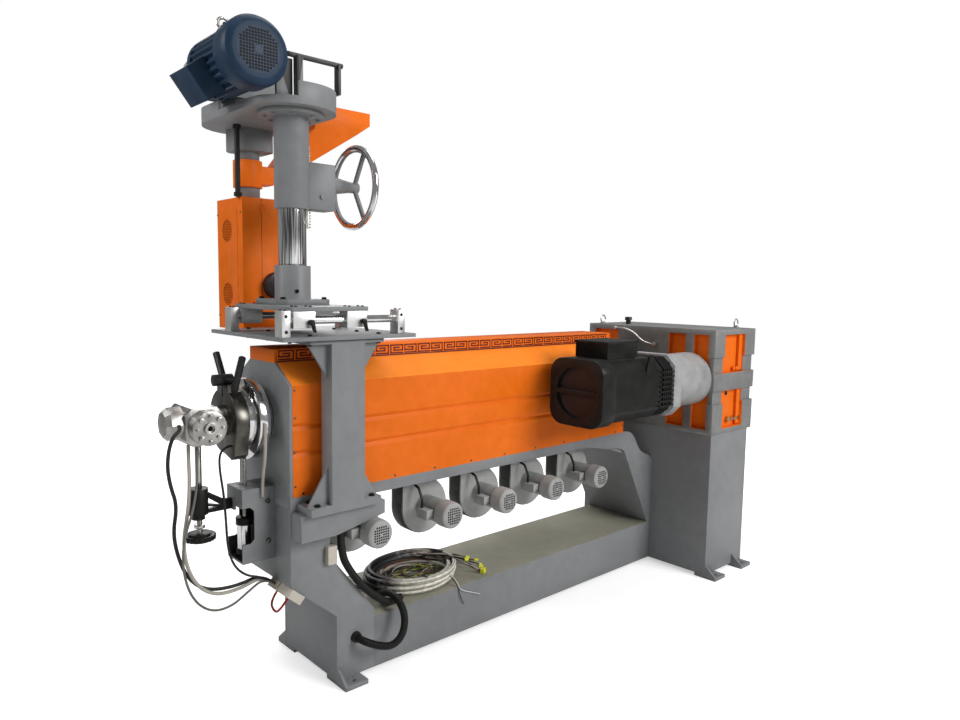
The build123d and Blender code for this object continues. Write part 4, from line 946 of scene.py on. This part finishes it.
bars = Shape()
for vent_z in VENT_ZS:
    for step in range(-4, 5):
        offset = step * BAR_PITCH
        reach = math.sqrt(max(0, VENT_RADIUS ** 2 - offset ** 2))
        bars.box(
            (BAR_XS[0], VENT_Y - reach, vent_z + offset - BAR_HALF),
            (BAR_XS[1], VENT_Y + reach, vent_z + offset + BAR_HALF),
        )
        bars.box(
            (BAR_XS[0], VENT_Y + offset - BAR_HALF, vent_z - reach),
            (BAR_XS[1], VENT_Y + offset + BAR_HALF, vent_z + reach),
        )
bars.done("cover_vent_bars", "orange_paint", "lift", bevel=0)
door_screws = Shape()
for z in (1.345, 1.745):
    for y in (0.474, 0.684):
        door_screws.screw((COVER_FRONT, y, z), (-1, 0, 0), 0.004)
door_screws.done("cover_screws_lift", "dark_steel", "lift")
seam = Shape()
seam.box((SEAM_XS[0], COVER_SIDE - 0.0004, 1.332), (SEAM_XS[1], COVER_SIDE, 1.806))
seam.done("cover_seam", "recess_dark", "lift", bevel=0)
hinges = Shape()
for z in (1.766, 1.400):
    pin = (0.1326, COVER_SIDE - 0.003)
    hinges.drum((*pin, z - 0.016), (*pin, z + 0.016), 0.004, sides=16)
    hinges.box((0.118, COVER_SIDE - 0.0012, z - 0.012), (0.148, COVER_SIDE, z + 0.012))
hinges.done("cover_hinges", "orange_paint", "lift", bevel=0.0003)
blower_holes = Shape()
grille(blower_holes, BLOWER_AT, 0.416, radius=0.042, hub=0.012, pitch=0.0095, hole=0.0065)
blower_holes.done("blower_holes", "recess_dark", "lift", bevel=0)


# Bolts and screws of the rails, bracket post, platform, carriage, sleeve and rack box

RAIL_YS = (-0.090, 0.290)
RAIL_BLOCK_XS = (-0.067, 0.383)
BEARING_XS = (-0.042, 0.158)
PAIR = (-0.014, 0.014)
COLUMN_AXIS = (0.105, 0.163)

frame_bolts = Shape()
for y in RAIL_YS:
    for x in RAIL_BLOCK_XS:
        for side in PAIR:
            frame_bolts.screw((x, y + side, 1.390), (0, 0, 1), 0.005, 0.004)
for x in RAIL_BLOCK_XS:
    for z in (1.372, 1.322):
        frame_bolts.screw((x, -0.1141, z), (0, -1, 0), 0.006, 0.001)
for x in (0.060, 0.280):
    for y in (-0.080, -0.020):
        frame_bolts.bolt((x, y, 0.721), (0, 0, 1), 0.009, 0.008)
for x in (0.036, 0.308):
    for y in (-0.080, 0.060, 0.220, 0.380):
        frame_bolts.bolt((x, y, 1.304), (0, 0, 1), 0.007, 0.006)
        frame_bolts.bolt((x, y, 1.276), (0, 0, -1), 0.007, 0.006)
frame_bolts.done("frame_bolts", "black_steel")
slide_bolts = Shape()
for left in BEARING_XS:
    for y in RAIL_YS:
        for x in (left + 0.014, left + 0.066):
            for side in PAIR:
                slide_bolts.screw((x, y + side, 1.402), (0, 0, 1), 0.0055, 0.004)
for x in (0.025, 0.185):
    for y in (0.083, 0.243):
        slide_bolts.bolt((x, y, 1.422), (0, 0, 1), 0.009, 0.008)
slide_bolts.drum((0.089, 0.102, 1.450), (0.087, 0.098, 1.450), 0.007, sides=16)
slide_bolts.done("slide_bolts", "black_steel", "carriage")
flange_bolts = Shape()
for x, y in circle(COLUMN_AXIS, 0.092, 8, 22.5):
    flange_bolts.bolt((x, y, 2.055), (0, 0, -1), 0.008, 0.007)
flange_bolts.bolt((0.201, 0.122, 1.787), (0, -1, 0), 0.008, 0.007)
flange_bolts.done("sleeve_flange_bolts", "grey_paint", "lift")
rack_box_bolts = Shape()
for z in (1.765, 1.880):
    for y in (0.136, 0.190):
        rack_box_bolts.bolt((0.258, y, z), (1, 0, 0), 0.007, 0.006)
rack_box_bolts.done("lift_bolts", "black_steel", "lift")


# Collar where the return hose enters the beam, and screws of the barrel cover's foot and ends

hose_collar = Shape()
hose_collar.ring((0.262, 0, 0.165), (0, -1, 0), (
    (0, 0.0142), (0, 0.021), (0.006, 0.021), (0.016, 0.018), (0.016, 0.0142),
))
hose_collar.done("return_hose_collar", "black_plastic")
cover_screws = Shape()
for step in range(10):
    cover_screws.screw((0.05 + step * 0.195, 0, 0.752), (0, -1, 0), 0.0045, 0.0025)
for z in (0.78, 0.90, 1.02, 1.115):
    for x in (0.020, 1.868):
        cover_screws.screw((x, 0, z), (0, -1, 0), 0.004, 0.002)
cover_screws.done("cover_screws", "dark_steel")


# Gearbox: drain plugs, ribs and sight hole in its side bay, and the oil pipe to the lid

BAY_FACE = -0.316
PLUG_Z = 0.806
PIPE = 0.010
PIPE_LOW = (2.126, 1.184)
PIPE_HIGH = (0.268, 1.262)

plugs = Shape()
for x, radius in ((2.332, 0.014), (2.366, 0.008), (2.390, 0.008), (2.430, 0.012)):
    plugs.drum((x, BAY_FACE, PLUG_Z), (x, BAY_FACE - 0.018, PLUG_Z), radius, sides=16)
plugs.drum((2.332, BAY_FACE - 0.011, PLUG_Z), (2.430, BAY_FACE - 0.011, PLUG_Z), 0.0055)
plugs.done("gearbox_plugs", "brass")
ribs = Shape()
for low_z, high_z in ((0.776, 0.984), (1.062, 1.262)):
    ribs.box((2.404, BAY_FACE - 0.015, low_z), (2.4395, BAY_FACE, high_z))
for x in (2.366, 2.392):
    ribs.drum((x, BAY_FACE, 1.072), (x, BAY_FACE - 0.016, 1.072), 0.011, sides=16)
ribs.done("gearbox_bay_ribs", "orange_paint")
sight_hole = Shape()
sight_hole.ring((2.319, BAY_FACE, 0.944), (0, -1, 0), (
    (0, 0.0001), (0, 0.011), (0.003, 0.010), (0.003, 0.0001),
), sides=24)
sight_hole.done("gearbox_sight_hole", "recess_dark", bevel=0)
curve_piece("oil_pipe", (
    (2.139, 0.268, 1.262), (2.128, 0.262, 1.264), (2.126, 0.200, 1.264), (2.126, 0.130, 1.240),
    (2.126, 0.078, 1.196), (2.126, 0.012, 1.184), (2.126, 0.002, 1.184),
), PIPE, "steel")
unions = Shape()
unions.drum((PIPE_LOW[0], 0.016, PIPE_LOW[1]), (PIPE_LOW[0], -0.010, PIPE_LOW[1]), 0.013, sides=6)
unions.drum((2.142, 0.000, PIPE_LOW[1]), (2.120, 0.000, PIPE_LOW[1]), 0.011, sides=16)
unions.drum((2.142, *PIPE_HIGH), (2.132, *PIPE_HIGH), 0.011, sides=6)
unions.done("oil_pipe_unions", "steel")


# Main motor: screws of its terminal box, flange bolts, side fins, lifting lug and dark holes

MOTOR_AXIS = (-0.200, 1.024)
LUG_FACE = -0.330
LUG_OUTLINE = (
    (1.570, 1.090), (1.650, 1.090), (1.646, 1.120), (1.626, 1.176),
    (1.610, 1.182), (1.594, 1.176), (1.574, 1.120),
)

motor_bolts = Shape()
for x in (1.352, 1.554):
    for y in (-0.288, -0.122):
        motor_bolts.screw((x, y, 1.246), (0, 0, 1), 0.005, 0.003)
for y, z in circle(MOTOR_AXIS, 0.148, 4, 45):
    motor_bolts.bolt((1.852, y, z), (1, 0, 0), 0.010, 0.009)
    motor_bolts.bolt((1.790, y, z), (-1, 0, 0), 0.010, 0.012)
motor_bolts.done("motor_bolts", "dark_steel")
fins = Shape()
for step in range(8):
    z = 0.936 + step * 0.0225
    fins.box((1.676 + 0.002 * step, -0.3455, z), (1.792, -0.3375, z + 0.006))
fins.done("motor_side_fins", "black_paint")
lug = Shape()
lug.plate([(x, LUG_FACE, z) for x, z in LUG_OUTLINE], (0, -1, 0), 0.011)
lug.done("motor_lug", "black_paint")
motor_holes = Shape()
motor_holes.drum((1.610, -0.3414, 1.160), (1.610, -0.3418, 1.160), 0.009)
motor_holes.drum((1.290, -0.3225, 1.1245), (1.290, -0.3245, 1.1265), 0.014)
motor_holes.done("motor_holes", "recess_dark", bevel=0)


# Conduit from the vertical drive down to the cover, with a nut at each end

CONDUIT_AT = (0.050, 0.484)
conduit = Shape()
conduit.drum((*CONDUIT_AT, 2.071), (*CONDUIT_AT, 1.803), 0.010)
for z in (2.064, 1.812):
    conduit.drum((*CONDUIT_AT, z - 0.008), (*CONDUIT_AT, z + 0.008), 0.015, sides=6)
conduit.done("lift_conduit", "cable_black", "lift")


# Room: pale floor, white backdrop, soft studio light

FLOOR_HALF = 9.0
FLOOR_GLOW = 0.5
GLOW_FADE = (1.6, 4.2)
WORLD_LIGHT = 0.24
WHITE = (1, 1, 1)
BLACK = (0, 0, 0)


def make_floor():
    """A pale floor that shows white to the camera, and keeps the machine's shadow near it."""
    corners = [(x * FLOOR_HALF, y * FLOOR_HALF, 0) for x, y in ((-1, -1), (1, -1), (1, 1), (-1, 1))]
    data = bpy.data.meshes.new("floor")
    data.from_pydata(corners, [], [(0, 1, 2, 3)])
    floor = bpy.data.objects.new("floor", data)
    bpy.context.scene.collection.objects.link(floor)
    pale = Shader("floor", Base_Color=(0.8, 0.8, 0.8), Roughness=0.9)
    seen = pale.node("LightPath", {}, output="Is Camera Ray")
    distance = pale.node("VectorMath", {"operation": "LENGTH"}, pale.place(), output="Value")
    glow = pale.blend(pale.grade(distance, *GLOW_FADE), (FLOOR_GLOW,) * 3, WHITE)
    pale.set(Emission_Color=pale.blend(seen, BLACK, glow), Emission_Strength=1.0)
    data.materials.append(pale.material)


def make_world():
    """White to the camera, and a soft even light to the machine."""
    world = bpy.data.worlds.new("studio")
    bpy.context.scene.world = world
    world.use_nodes = True
    sky = Tree(world.node_tree)
    background = world.node_tree.nodes["Background"]
    seen = sky.node("LightPath", {}, output="Is Camera Ray")
    sky.plug(background.inputs["Strength"], seen * (1 - WORLD_LIGHT) + WORLD_LIGHT)
    sky.plug(background.inputs["Color"], WHITE)


def lamp(name, place, target, size, power):
    """A square area lamp that looks at its target."""
    data = bpy.data.lights.new(name, "AREA")
    data.size = size
    data.energy = power
    lamp_object = bpy.data.objects.new(name, data)
    bpy.context.scene.collection.objects.link(lamp_object)
    lamp_object.location = place
    lamp_object.rotation_euler = (Vector(target) - Vector(place)).to_track_quat("-Z", "Y").to_euler()


make_floor()
make_world()
lamp("key", (1.8, -6.4, 4.2), (0, 0, 1.0), size=3.0, power=410)
lamp("top", (0.3, 0.3, 5.6), (0.1, 0, 0.8), size=3.4, power=130)
lamp("rear", (1.5, 6.0, 3.6), (0, 0, 0.9), size=3.0, power=120)
lamp("left", (-3.2, 0.6, 3.0), (-0.9, 0.2, 1.8), size=1.4, power=42)

bpy.context.scene.view_settings.view_transform = "Standard"
